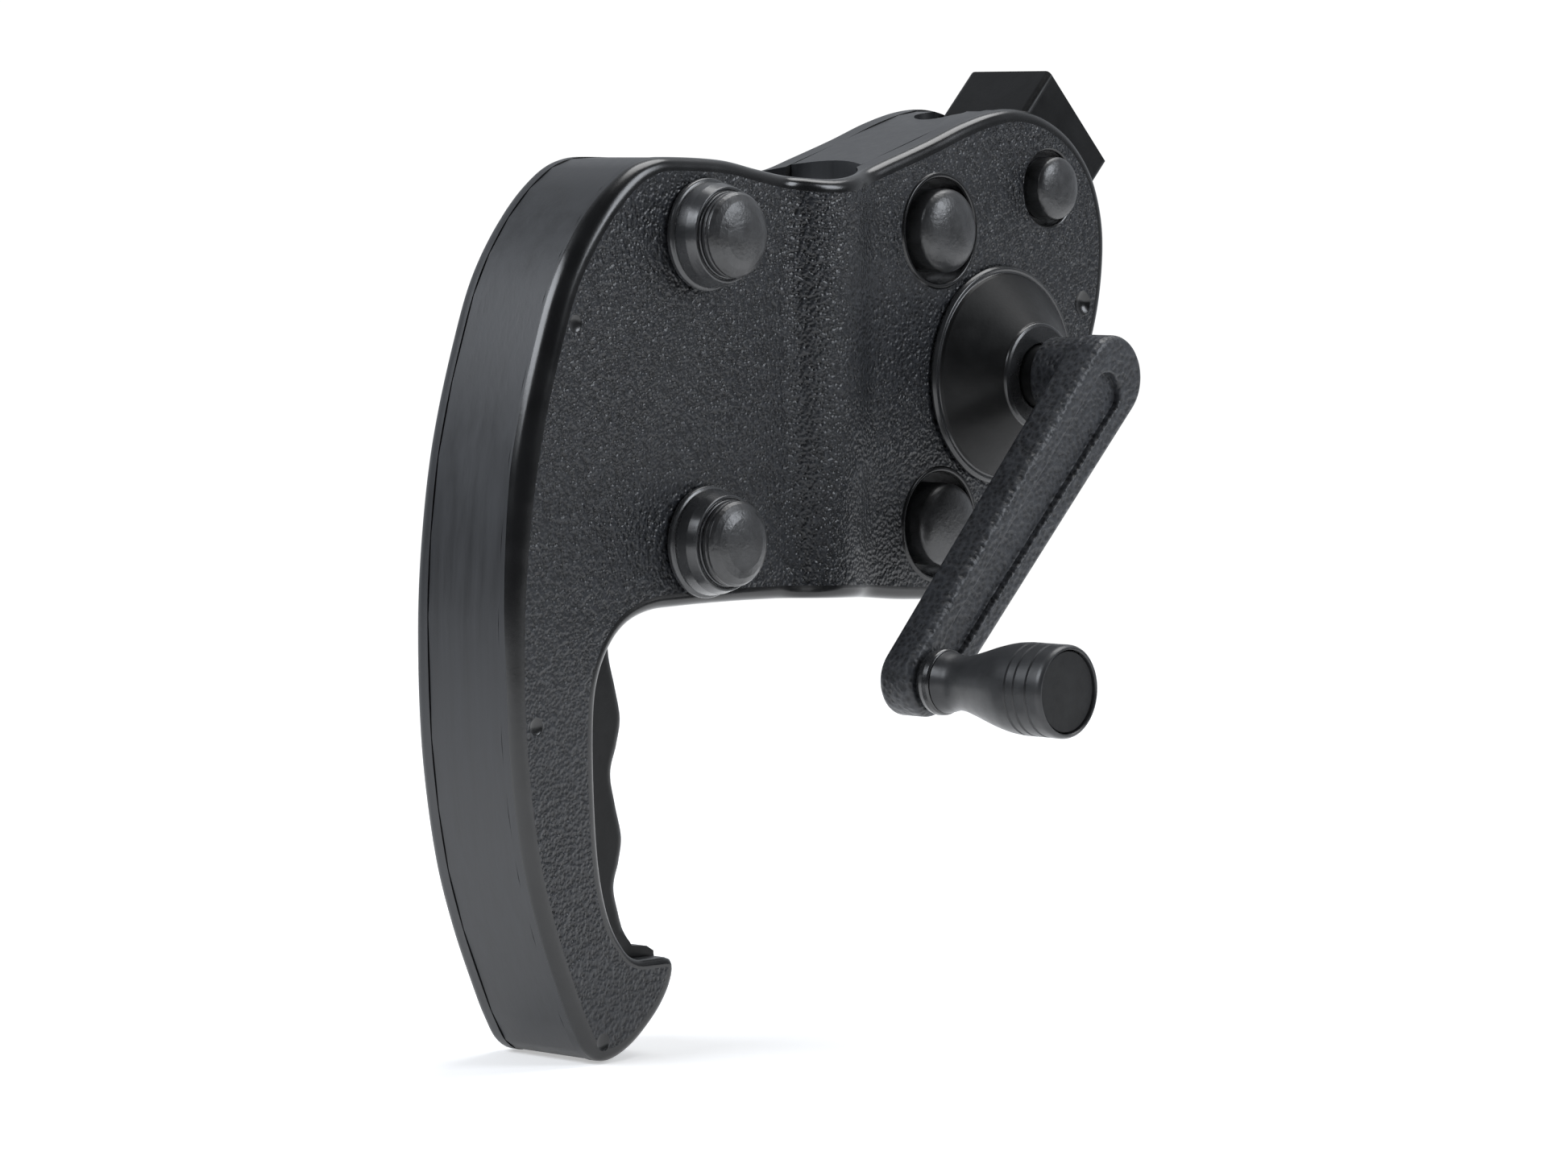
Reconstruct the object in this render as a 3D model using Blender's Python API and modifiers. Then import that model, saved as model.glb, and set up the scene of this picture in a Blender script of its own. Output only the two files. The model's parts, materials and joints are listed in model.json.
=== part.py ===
"""Slider of a cantilever parasol: it rides on the mast, locks into it, carries the strut and the crank.

Frame: millimetres below, metres in the scene. X runs from the handle to the crank, Y from the front
cover to the rear one, Z is up along the mast. The origin lies on the axis of the mast's round tube,
half-way between the covers, at the height of the crank's axis.
"""

import math

import bmesh
import bpy
from mathutils import Matrix, Vector
from mathutils.geometry import delaunay_2d_cdt

MM = 0.001
GAP = 0.3

# The room for the mast: a flat-faced rail on the left, a round tube on the right.
CHANNEL_R = 22.9
CHANNEL_LEFT_X = -48.6
CHANNEL_HALF = 16.5

# The sandwich of front cover, core and rear cover.
CORE_HALF = 13.8
COVER_IN = 14.1
LEFT_FACE = 20.0
RIGHT_FACE = 22.0
WALL = 3.2
RIM_R = 3.2
SHOULDER_RIM_R = 5.0
HOOK_RIM_R = 2.0
BULGE_R = 26.1
LEFT_VALLEY_R = 14.0
RIGHT_VALLEY_R = 20.0
CORE_INSET = 0.1

# The four clamp bolts.
LEFT_BOLT_X = -55.0
RIGHT_BOLT_X = 47.0
BOLT_Z = 44.0
BOLT_R = 3.0
HEX_R = 5.7
COLLAR_R = 16.2
BARREL_R = 15.1
CAP_R = 12.3
POCKET_R = 15.8
POCKET_FLOOR = 16.4

# The guide rollers and shoes.
ROLLER_R = 6.8
SHOE_IN = 22.0
SHOE_OUT = 24.3
SHOE_HALF_DEG = 33.0

# The strut's pivot and socket.
PIVOT_X = 98.5
PIVOT_Z = 56.4
ARM_DEG = 45.0
ARM_DOWN_DEG = 12.0
SOCKET_HALF_T = 19.8
SOCKET_HALF_Y = 16.6
SOCKET_LENGTH = 31.0
STRUT_HALF_T = 16.9
STRUT_HALF_Y = 14.15
SOCKET_FLOOR = 11.0
SLOT_HALF = 20.6
PIVOT_FLOOR = 19.2

# The crank.
CRANK_X = 75.4
HOUSING_BASE_R = 32.6
HOUSING_FRONT_R = 15.2
HOUSING_FRONT_Y = 38.0
SHAFT_R = 5.0
DRUM_R = 24.0
HUB_R = 12.0
HUB_BACK_Y = 43.0
ARM_BACK_Y = 55.0
ARM_FRONT_Y = 67.0
KNOB_X = -8.9
KNOB_Z = -84.4
KNOB_END_Y = 117.5

# The release lever and the lock pin that it pulls.
LEVER_X = -85.0
LEVER_Z = -172.0
LEVER_HALF = 13.0
TAIL_HALF = 10.5
PIN_TIP_X = -36.0
PIN_R = 6.8
CROSS_X = -78.0
SPRING_BACK_X = -112.7

# Screws that hold the covers, and the dimples that mark them in front.
SCREWS = ((-107.9, 19.8), (-124.0, -92.1), (-97.5, -184.0), (115.1, 20.9))
SCREW_R = 1.5

# Side outline of the slider, from the top left corner down the handle and round to the lobe.
OUTLINE = (
    (-64.0, 66.1), (-74.5, 65.6), (-84.0, 62.3), (-95.0, 54.2), (-105.0, 43.0), (-113.0, 30.0),
    (-119.6, 13.0), (-125.6, -6.0), (-129.6, -24.0), (-132.3, -48.5), (-132.8, -71.0),
    (-131.2, -102.0), (-126.3, -131.0), (-119.4, -152.5), (-110.6, -172.5), (-106.4, -180.6),
    (-102.6, -186.4), (-97.6, -189.6), (-91.4, -189.6), (-83.2, -186.0), (-74.6, -179.2),
    (-69.8, -173.4), (-67.7, -168.2), (-67.9, -164.6), (-70.0, -162.8), (-76.4, -162.5),
    (-83.0, -161.9), (-88.4, -158.0), (-93.6, -148.6), (-97.4, -134.0), (-99.3, -112.0), (-99.4, -92.0),
    (-97.6, -80.6), (-92.6, -71.6), (-85.6, -65.8), (-76.0, -62.8), (-64.0, -62.2), (-38.0, -62.2),
    (-8.0, -63.0), (12.0, -64.0), (34.0, -66.0), (52.0, -66.2), (64.0, -61.6), (79.0, -50.0),
    (95.0, -34.0), (109.0, -15.0), (119.0, 3.5), (124.8, 20.0), (127.0, 37.0), (125.4, 50.0),
    (120.0, 62.0), (110.6, 71.6), (98.6, 77.8), (86.0, 80.4), (74.0, 79.6), (60.0, 76.2),
    (44.6, 71.1), (27.0, 65.8), (13.0, 61.8), (-2.0, 59.6), (-16.0, 60.4), (-30.0, 62.6),
    (-45.0, 65.2),
)
COLUMNS = (-21.3, -17.0, -13.8, -7.5, 0.0, 7.0, 10.8, 14.6, 19.0)

# Finger side of the release lever, bumps and valleys, from the top down.
FINGER_EDGE = (
    (-86.6, -58.0), (-85.6, -68.0), (-84.7, -76.0), (-82.2, -84.6), (-80.2, -93.5), (-81.8, -101.4),
    (-84.2, -109.0), (-82.3, -118.0), (-79.8, -127.4), (-81.0, -135.0), (-83.0, -141.8),
    (-81.0, -149.6), (-78.6, -157.0), (-78.4, -164.0),
)
LEVER_BACK = (
    (-95.0, -163.0), (-101.0, -150.0), (-104.0, -130.0), (-105.0, -105.0), (-103.0, -80.0),
    (-100.0, -62.0), (-90.0, -20.0), (-84.5, -5.0), (-84.5, 6.0), (-71.5, 6.0), (-71.5, -6.0),
    (-76.0, -25.0),
)
CAVITY = (
    (-97.6, -168.0), (-105.0, -151.0), (-110.0, -130.0), (-112.5, -105.0), (-112.5, -80.0),
    (-111.0, -60.0), (-105.5, -20.0), (-101.5, 14.0), (-69.0, 14.0), (-69.0, -8.0),
    (-74.0, -25.0), (-84.8, -57.0), (-83.6, -70.0), (-60.0, -90.0), (-60.0, -152.0),
    (-77.6, -154.0), (-77.6, -172.0),
)

for old in list(bpy.data.objects):
    bpy.data.objects.remove(old, do_unlink=True)

PARTS = bpy.data.collections.new("cantilever_parasol_slider")
CUTTERS = bpy.data.collections.new("cutters")
for group in (PARTS, CUTTERS):
    bpy.context.scene.collection.children.link(group)
CUTTERS.hide_render = True


def material(name, colour, metallic=0.0, roughness=0.5):
    made = bpy.data.materials.new(name)
    made.use_nodes = True
    shader = made.node_tree.nodes["Principled BSDF"]
    shader.inputs["Base Color"].default_value = (*colour, 1.0)
    shader.inputs["Metallic"].default_value = metallic
    shader.inputs["Roughness"].default_value = roughness
    return made


PLASTIC = (0.03, 0.03, 0.034)
CORE = (0.06, 0.065, 0.07)
STEEL = (0.55, 0.56, 0.58)
ACETAL = (0.75, 0.74, 0.70)
LOOKS = {"plastic": (PLASTIC, 0.0), "core": (CORE, 0.0), "steel": (STEEL, 1.0), "acetal": (ACETAL, 0.0)}


def keep(made, look):
    """Puts an object in its collection; look None makes a cutter or another helper."""
    if look is None:
        CUTTERS.objects.link(made)
        made.hide_render = True
        made.display_type = "WIRE"
        return made
    PARTS.objects.link(made)
    colour, metallic = LOOKS[look]
    made.data.materials.append(material(made.name, colour, metallic, 0.35 if metallic else 0.55))
    if made.type == "MESH":
        made.data.shade_smooth()
        made.data.set_sharp_from_angle(angle=math.radians(35))
    return made


def from_work(name, work, look):
    mesh = bpy.data.meshes.new(name)
    work.to_mesh(mesh)
    work.free()
    return keep(bpy.data.objects.new(name, mesh), look)


def combine(target, other, operation):
    change = target.modifiers.new(f"{operation.lower()}_{other.name}"[:60], "BOOLEAN")
    change.operation = operation
    change.solver = "EXACT"
    change.object = other


def cut(target, *others):
    for other in others:
        combine(target, other, "DIFFERENCE")


def join(target, *others):
    for other in others:
        combine(target, other, "UNION")


def rounded(target, width, segments):
    """Rounds every edge of a plain outline that turns by more than 50 degrees."""
    change = target.modifiers.new("rounded", "BEVEL")
    change.width = width * MM
    change.segments = segments
    change.limit_method = "ANGLE"
    change.angle_limit = math.radians(50)
    return target


def flat(name, loop, start, end, look=None, origin=(0.0, 0.0), upright=False):
    """A flat outline with thickness: X and Z from y start to end, or X and Y from z start to end."""
    curve = bpy.data.curves.new(name, "CURVE")
    curve.dimensions = "2D"
    curve.fill_mode = "BOTH"
    curve.extrude = abs(end - start) / 2 * MM
    line = curve.splines.new("POLY")
    line.points.add(len(loop) - 1)
    for point, (a, b) in zip(line.points, loop):
        point.co = ((a - origin[0]) * MM, (b - origin[1]) * MM, 0.0, 1.0)
    line.use_cyclic_u = True
    drawn = bpy.data.objects.new(name + "_line", curve)
    bpy.context.scene.collection.objects.link(drawn)
    graph = bpy.context.evaluated_depsgraph_get()
    mesh = bpy.data.meshes.new_from_object(drawn.evaluated_get(graph))
    bpy.data.objects.remove(drawn, do_unlink=True)
    work = bmesh.new()
    work.from_mesh(mesh)
    bmesh.ops.remove_doubles(work, verts=work.verts, dist=1e-6)
    bmesh.ops.recalc_face_normals(work, faces=work.faces)
    work.to_mesh(mesh)
    work.free()
    mesh.name = name
    made = bpy.data.objects.new(name, mesh)
    middle = (start + end) / 2
    if upright:
        made.location = Vector((origin[0], origin[1], middle)) * MM
    else:
        made.location = Vector((origin[0], middle, origin[1])) * MM
        made.rotation_euler = (math.radians(90), 0.0, 0.0)
    bpy.context.view_layer.update()
    return keep(made, look)


def box(name, low, high):
    """A cutter between two corners."""
    work = bmesh.new()
    middle = [(a + b) / 2 for a, b in zip(low, high)]
    size = [abs(b - a) * MM for a, b in zip(low, high)]
    bmesh.ops.create_cube(work, size=1.0, matrix=Matrix.Diagonal((*size, 1.0)))
    made = from_work(name, work, None)
    made.location = Vector(middle) * MM
    return made


AXES = {"X": (0.0, math.radians(90), 0.0), "Y": (math.radians(-90), 0.0, 0.0), "Z": (0.0, 0.0, 0.0)}


def turned(name, profile, centre, look=None, axis="Y", segments=24, ring=False):
    """A turned piece: (radius, distance along the axis) points under a Screw; ring closes the profile."""
    points = list(profile)
    if not ring:
        if points[0][0] > 0:
            points.insert(0, (0.0, points[0][1]))
        if points[-1][0] > 0:
            points.append((0.0, points[-1][1]))
    area = sum(a[0] * b[1] - b[0] * a[1] for a, b in zip(points, points[1:] + points[:1]))
    if area > 0:
        points.reverse()
    mesh = bpy.data.meshes.new(name)
    edges = [(i, i + 1) for i in range(len(points) - 1)]
    if ring:
        edges.append((len(points) - 1, 0))
    mesh.from_pydata([(r * MM, 0.0, t * MM) for r, t in points], edges, [])
    made = bpy.data.objects.new(name, mesh)
    made.location = Vector(centre) * MM
    made.rotation_euler = AXES[axis]
    screw = made.modifiers.new("turned", "SCREW")
    screw.angle = 2 * math.pi
    screw.steps = segments
    screw.render_steps = segments
    screw.use_merge_vertices = True
    screw.merge_threshold = 0.00001
    screw.use_smooth_shade = True
    return keep(made, look)


def tube(name, inner, outer, y0, y1, centre, look, segments=24):
    line = ((inner, y0), (outer, y0), (outer, y1), (inner, y1))
    return turned(name, line, centre, look, "Y", segments, True)


def rod(name, radius, y0, y1, centre, look=None, segments=24, copies=None):
    """A cylinder along Y, or several in one cutter."""
    work = bmesh.new()
    turn = Matrix.Rotation(math.radians(-90), 4, "X")
    for place in copies or (centre,):
        middle = (place[0] - centre[0], (y0 + y1) / 2, place[2] - centre[2])
        bmesh.ops.create_cone(
            work, cap_ends=True, segments=segments, radius1=radius * MM, radius2=radius * MM,
            depth=abs(y1 - y0) * MM, matrix=Matrix.Translation(Vector(middle) * MM) @ turn,
        )
    made = from_work(name, work, look)
    made.location = Vector(centre) * MM
    return made


def coil(name, radius, wire, start, end, turns, axis, centre, look):
    """A helical spring: a wire of round section along a line of short steps."""
    per_turn = 10
    steps = int(turns * per_turn)
    curve = bpy.data.curves.new(name, "CURVE")
    curve.dimensions = "3D"
    curve.bevel_depth = wire * MM
    curve.bevel_resolution = 0
    curve.use_fill_caps = True
    line = curve.splines.new("POLY")
    line.points.add(steps)
    for i, point in enumerate(line.points):
        angle = 2 * math.pi * i / per_turn
        along = start + (end - start) * i / steps
        point.co = (radius * MM * math.cos(angle), radius * MM * math.sin(angle), along * MM, 1.0)
    made = bpy.data.objects.new(name, curve)
    made.location = Vector(centre) * MM
    made.rotation_euler = AXES[axis]
    return keep(made, look)


def skin(name, verts, faces, look=None):
    """A body built face by face from points in mm, with its faces turned outward."""
    work = bmesh.new()
    points = [work.verts.new(Vector(v) * MM) for v in verts]
    for face_points in faces:
        work.faces.new([points[i] for i in face_points])
    bmesh.ops.recalc_face_normals(work, faces=work.faces)
    return from_work(name, work, look)


def at(x, z):
    return (x, 0.0, z)


def spline(points, steps):
    """Points on a closed Catmull-Rom curve through the given ones."""
    count = len(points)
    made = []
    for i in range(count):
        a, b, c, d = (points[(i + k) % count] for k in (-1, 0, 1, 2))
        for step in range(steps):
            t = step / steps
            made.append(tuple(
                0.5 * (2 * b[k] + (c[k] - a[k]) * t + (2 * a[k] - 5 * b[k] + 4 * c[k] - d[k]) * t * t
                       + (3 * b[k] - a[k] - 3 * c[k] + d[k]) * t ** 3)
                for k in (0, 1)
            ))
    return made


def open_spline(points, steps):
    """Points on a Catmull-Rom curve from the first given point to the last."""
    padded = [points[0], *points, points[-1]]
    made = []
    for i in range(1, len(points)):
        a, b, c, d = padded[i - 1:i + 3]
        for step in range(steps):
            t = step / steps
            made.append(tuple(
                0.5 * (2 * b[k] + (c[k] - a[k]) * t + (2 * a[k] - 5 * b[k] + 4 * c[k] - d[k]) * t * t
                       + (3 * b[k] - a[k] - 3 * c[k] + d[k]) * t ** 3)
                for k in (0, 1)
            ))
    return [*made, points[-1]]


def off_line(p, a, b):
    length = math.hypot(b[0] - a[0], b[1] - a[1])
    return abs((b[0] - a[0]) * (p[1] - a[1]) - (b[1] - a[1]) * (p[0] - a[0])) / max(length, 1e-9)


def thinned(points, tolerance, least):
    """The closed loop without the points that lie within tolerance of the line between their neighbours."""
    kept = [points[0]]
    last = 0
    for i in range(2, len(points) + 1):
        end = points[i % len(points)]
        far = max(off_line(points[k], points[last], end) for k in range(last + 1, i))
        span = math.dist(points[i - 1], points[last])
        if far > tolerance or span > least:
            kept.append(points[i - 1])
            last = i - 1
    return kept


def with_columns(loop):
    """The loop with a point where it crosses each column, so that the bulge's strips meet it."""
    made = []
    for i, a in enumerate(loop):
        b = loop[(i + 1) % len(loop)]
        made.append(a)
        crossed = [c for c in COLUMNS if min(a[0], b[0]) < c < max(a[0], b[0])]
        for c in sorted(crossed, reverse=b[0] < a[0]):
            t = (c - a[0]) / (b[0] - a[0])
            made.append((c, a[1] + t * (b[1] - a[1])))
    return [p for i, p in enumerate(made) if math.dist(p, made[i - 1]) > 0.4 or p[0] in COLUMNS]


def normals(loop):
    """Inward unit normals of a loop that runs counter-clockwise in X and Z."""
    made = []
    for i, p in enumerate(loop):
        a, b = loop[i - 1], loop[(i + 1) % len(loop)]
        one = Vector((p[0] - a[0], p[1] - a[1])).normalized()
        two = Vector((b[0] - p[0], b[1] - p[1])).normalized()
        along = (one + two).normalized()
        stretch = 1 / max(0.6, along.dot(one))
        made.append((-along.y * stretch, along.x * stretch))
    return made


def inset(loop, amount, at_normals=None):
    at_normals = at_normals or normals(loop)
    amounts = amount if isinstance(amount, list) else [amount] * len(loop)
    return [(p[0] + n[0] * d, p[1] + n[1] * d) for p, n, d in zip(loop, at_normals, amounts)]


def ring_faces(rings, count):
    """Side quads between neighbouring rings of the same count."""
    faces = []
    for ring in range(rings - 1):
        low, high = ring * count, (ring + 1) * count
        for i in range(count):
            j = (i + 1) % count
            faces.append((low + i, low + j, high + j, high + i))
    return faces


OUT = with_columns(thinned(spline(OUTLINE, 6), 0.3, 30.0))


def face(x):
    """How far the cover's outer face stands from the mid-plane at x."""
    left_x = -math.sqrt((BULGE_R + LEFT_VALLEY_R) ** 2 - (LEFT_FACE + LEFT_VALLEY_R) ** 2)
    right_x = math.sqrt((BULGE_R + RIGHT_VALLEY_R) ** 2 - (RIGHT_FACE + RIGHT_VALLEY_R) ** 2)
    if x <= left_x:
        return LEFT_FACE
    if x >= right_x:
        return RIGHT_FACE
    if x < left_x * BULGE_R / (BULGE_R + LEFT_VALLEY_R):
        return LEFT_FACE + LEFT_VALLEY_R - math.sqrt(LEFT_VALLEY_R ** 2 - (x - left_x) ** 2)
    if x > right_x * BULGE_R / (BULGE_R + RIGHT_VALLEY_R):
        return RIGHT_FACE + RIGHT_VALLEY_R - math.sqrt(RIGHT_VALLEY_R ** 2 - (x - right_x) ** 2)
    return math.sqrt(BULGE_R ** 2 - x * x)


def face_triangles(loop):
    """Triangles that fill the loop, with strips along the bulge's columns."""
    count = len(loop)
    edges = [(i, (i + 1) % count) for i in range(count)]
    for c in COLUMNS:
        near = [i for i, p in enumerate(loop) if abs(p[0] - c) < 1.2]
        upper = [i for i in near if loop[i][1] > 0]
        lower = [i for i in near if loop[i][1] < 0]
        if upper and lower:
            pick = [min(some, key=lambda i: abs(loop[i][0] - c)) for some in (upper, lower)]
            edges.append(tuple(pick))
    result = delaunay_2d_cdt([Vector(p) for p in loop], edges, [list(range(count))], 1, 1e-6)
    back = [sources[0] for sources in result[3]]
    return [tuple(back[i] for i in triangle) for triangle in result[2]]


def shell_side(name, loops, depths, side, look=None):
    """A body over one side of the core: rings of loops at the given depths, closed by the face."""
    count = len(loops[0])
    verts = []
    for loop, depth in zip(loops, depths):
        verts += [(x, side * y, z) for (x, z), y in zip(loop, depth)]
    top = (len(loops) - 1) * count
    faces = ring_faces(len(loops), count)
    faces.append(tuple(range(count)))
    faces += [tuple(top + i for i in triangle) for triangle in face_triangles(loops[-1])]
    return skin(name, verts, faces, look)


def full_rim(x, z):
    """The rim's radius where the outline is gentle: full at the handle's shoulder, smaller elsewhere."""
    if x > -89.0 and -165.5 < z < -155.0:
        return HOOK_RIM_R
    outward = min(1.0, max(0.0, (-70.0 - x) / 30.0))
    upward = min(1.0, max(0.0, (z + 80.0) / 60.0))
    return RIM_R + (SHOULDER_RIM_R - RIM_R) * outward * upward


def rim_radii():
    """The rim's radius at each point of the outline, smaller at sharp turns and along the hook's top."""
    radii = []
    for i, p in enumerate(OUT):
        a, b = OUT[i - 1], OUT[(i + 1) % len(OUT)]
        one, two = Vector((p[0] - a[0], p[1] - a[1])), Vector((b[0] - p[0], b[1] - p[1]))
        turn = -one.angle_signed(two, 0.0)
        local = 0.6 * min(one.length, two.length) / turn if turn > 0.06 else RIM_R
        radii.append(min(full_rim(*p), local))
    for _ in range(3):
        beside = [0.5 * (radii[i - 1] + radii[(i + 1) % len(radii)]) for i in range(len(radii))]
        radii = [min(r, mean + 0.6) for r, mean in zip(radii, beside)]
    return radii


RIM = rim_radii()
OUT_NORMALS = normals(OUT)
SKIN_TURNS = tuple(math.radians(turn) for turn in (0, 45, 90))


def cover_body(name, side):
    loops = [OUT]
    depths = [[COVER_IN] * len(OUT)]
    for turn in SKIN_TURNS:
        loops.append(inset(OUT, [r * (1 - math.cos(turn)) for r in RIM], OUT_NORMALS))
        depths.append([face(x) - r * (1 - math.sin(turn)) for (x, z), r in zip(loops[-1], RIM)])
    return shell_side(name, loops, depths, side, "plastic")


def cover_hollow(name, side):
    loop = inset(OUT, WALL, OUT_NORMALS)
    return shell_side(name, [loop, loop], [[5.0] * len(loop), [face(x) - WALL for x, z in loop]], side)


def channel():
    """The room that the mast needs between the two covers."""
    turn = math.asin(CHANNEL_HALF / CHANNEL_R)
    loop = [(CHANNEL_LEFT_X, -CHANNEL_HALF)]
    steps = 22
    for i in range(steps + 1):
        angle = -math.pi + turn + (2 * math.pi - 2 * turn) * i / steps
        loop.append((CHANNEL_R * math.cos(angle), CHANNEL_R * math.sin(angle)))
    loop.append((CHANNEL_LEFT_X, CHANNEL_HALF))
    return flat("channel_cutter", loop, -100.0, 110.0, upright=True)


def arm_slot():
    """Outline of the room that the socket sweeps, from upright to its lowest angle."""
    loop = []
    steps = 14
    last = math.radians(ARM_DOWN_DEG - 90.0)
    for i in range(steps + 1):
        angle = -math.pi + (last + math.pi) * i / steps
        loop.append((PIVOT_X + SLOT_HALF * math.cos(angle), PIVOT_Z + SLOT_HALF * math.sin(angle)))
    down = math.radians(ARM_DOWN_DEG)
    loop.append((loop[-1][0] + 80 * math.cos(down), loop[-1][1] + 80 * math.sin(down)))
    loop.append((loop[-1][0], 140.0))
    loop.append((PIVOT_X - SLOT_HALF, 140.0))
    return loop


crank = at(CRANK_X, 0.0)
pivot = at(PIVOT_X, PIVOT_Z)
left_bolts = [at(LEFT_BOLT_X, z) for z in (BOLT_Z, -BOLT_Z)]
right_bolts = [at(RIGHT_BOLT_X, z) for z in (BOLT_Z, -BOLT_Z)]
screw_places = [at(x, z) for x, z in SCREWS]
CHANNEL = channel()
COVER_SLOT = flat("cover_slot_cutter", arm_slot(), -17.0, 17.0)
CORE_SLOT = flat("core_slot_cutter", arm_slot(), -30.0, 30.0)


def cover(name, side):
    """One cover: a rimmed shell with bosses, pockets for the right caps and a way for mast and strut."""
    body = cover_body(name, side)
    tag = name.split("_")[0]
    inner = LEFT_FACE - WALL + 0.6

    def bosses(label, radius, start, end, places, segments):
        return rod(f"{tag}_{label}", radius, side * start, side * end, places[0], None, segments, places)

    cut(body, cover_hollow(f"{tag}_hollow", side))
    join(
        body,
        bosses("left_bosses", 8.5, COVER_IN, inner, left_bolts, 16),
        bosses("right_bosses", 18.2, COVER_IN, 20.5, right_bolts, 20),
        bosses("pivot_pad", 16.0, 17.0, 20.0, [pivot], 18),
        bosses("grip_bosses", 4.2, COVER_IN, inner, screw_places[:3], 8),
        bosses("lobe_boss", 4.2, COVER_IN, 19.4, screw_places[3:], 8),
    )
    cut(
        body,
        CHANNEL,
        bosses("pockets", POCKET_R, POCKET_FLOOR, 30, right_bolts, 24),
        bosses("bolt_holes", BOLT_R + GAP, 10, 30, left_bolts + right_bolts, 12),
        COVER_SLOT,
        bosses("pivot_pocket", 11.5, PIVOT_FLOOR, 30, [pivot], 20),
        bosses("pivot_hole", 5.0 + GAP, 10, 30, [pivot], 16),
    )
    return body


front_cover = cover("front_cover", -1)
cut(
    front_cover,
    rod("sleeve_hole", 19.8, -10, -30, crank, None, 24),
    rod("front_screw_holes", SCREW_R + GAP, -10, -17.2, screw_places[0], None, 8, screw_places),
)
rear_cover = cover("rear_cover", 1)
join(rear_cover, rod("bush_boss", 11.5, 15.0, 20.0, crank, None, 16))
cut(
    rear_cover,
    rod("bush_bore", 8.3, 10.0, 20.4, crank, None, 20),
    rod("rear_screw_holes", SCREW_R + GAP, 10, 30, screw_places[0], None, 8, screw_places),
    rod("rear_screw_seats", 3.9, 18.3, 30, screw_places[0], None, 10, screw_places),
)

# Core, left: the handle's spine with the lever's cavity, the lock pin's bore and the roller pockets.
CORE_LOOP = inset(OUT, CORE_INSET, OUT_NORMALS)


def cavity():
    loop = list(CAVITY)
    reach = 7.4
    for i in range(1, 7):
        angle = -math.pi * i / 6
        loop.append((LEVER_X + reach * math.cos(angle), LEVER_Z + reach * math.sin(angle)))
    return loop


def along_x(name, radius, x0, x1, look=None, segments=24, z=0.0):
    """A cylinder along X."""
    work = bmesh.new()
    bmesh.ops.create_cone(
        work, cap_ends=True, segments=segments, radius1=radius * MM, radius2=radius * MM,
        depth=abs(x1 - x0) * MM,
    )
    made = from_work(name, work, look)
    made.location = Vector(((x0 + x1) / 2, 0.0, z)) * MM
    made.rotation_euler = AXES["X"]
    return made


def along_z(name, radius, x, y, z0, z1, segments=10, look=None):
    """A cylinder along Z."""
    work = bmesh.new()
    bmesh.ops.create_cone(
        work, cap_ends=True, segments=segments, radius1=radius * MM, radius2=radius * MM,
        depth=abs(z1 - z0) * MM,
    )
    made = from_work(name, work, look)
    made.location = Vector((x, y, (z0 + z1) / 2)) * MM
    return made


handle_core = flat("handle_core", CORE_LOOP, -CORE_HALF, CORE_HALF, "core")
cut(
    handle_core,
    box("right_of_handle", (-49.2, -30, -100), (200, 30, 120)),
    flat("lever_cavity", cavity(), -30, 30),
    rod("roller_pockets", 7.8, -30, 30, left_bolts[0], None, 20, left_bolts),
    along_x("guide_bore", 9.8, -72.0, -40.0, None, 20),
    along_x("spring_bore", 6.2, -113.0, -95.0, None, 16),
    rod("core_screw_holes", SCREW_R + GAP, -30, 30, screw_places[0], None, 8, screw_places[:3]),
    rod("lever_pin_bore", 2.8, -30, 30, at(LEVER_X, LEVER_Z), None, 16),
    box("hook_slot", (-92.0, -30, -167.0), (-60.0, 30, -150.0)),
)

# Core, right: the block that holds the drum and the strut's pivot.
bore_r = SHOE_OUT + GAP
half_turn = math.asin((CORE_HALF + 0.2) / bore_r)
side_x = bore_r * math.cos(half_turn)
left_room = [(-150.0, -30.0), (side_x, -30.0), (side_x, -CORE_HALF - 0.2)]
for k in range(-4, 5):
    left_room.append((bore_r * math.cos(half_turn * k / 5), bore_r * math.sin(half_turn * k / 5)))
left_room += [(side_x, CORE_HALF + 0.2), (side_x, 30.0), (-150.0, 30.0)]
arm_block = flat("arm_block", CORE_LOOP, -CORE_HALF, CORE_HALF, "core")
cut(
    arm_block,
    flat("left_of_block", left_room, -250, 120, upright=True),
    rod("drum_room", 25.5, -30, 30, crank, None, 28),
    CORE_SLOT,
    along_z("slot_end", 8.0, 73.0, 0.0, 72.6, 95.0, 24),
    box("cord_way", (84.0, -3.5, 12.0), (91.0, 3.5, 46.0)),
    rod("block_bolt_holes", BOLT_R + GAP, -30, 30, right_bolts[0], None, 16, right_bolts),
    rod("block_screw_hole", SCREW_R + GAP, -30, 30, screw_places[3], None, 10),
    along_x("upper_peg_hole", 3.3, 20.0, 33.5, None, 16, BOLT_Z),
    along_x("lower_peg_hole", 3.3, 20.0, 33.5, None, 16, -BOLT_Z),
)

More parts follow.
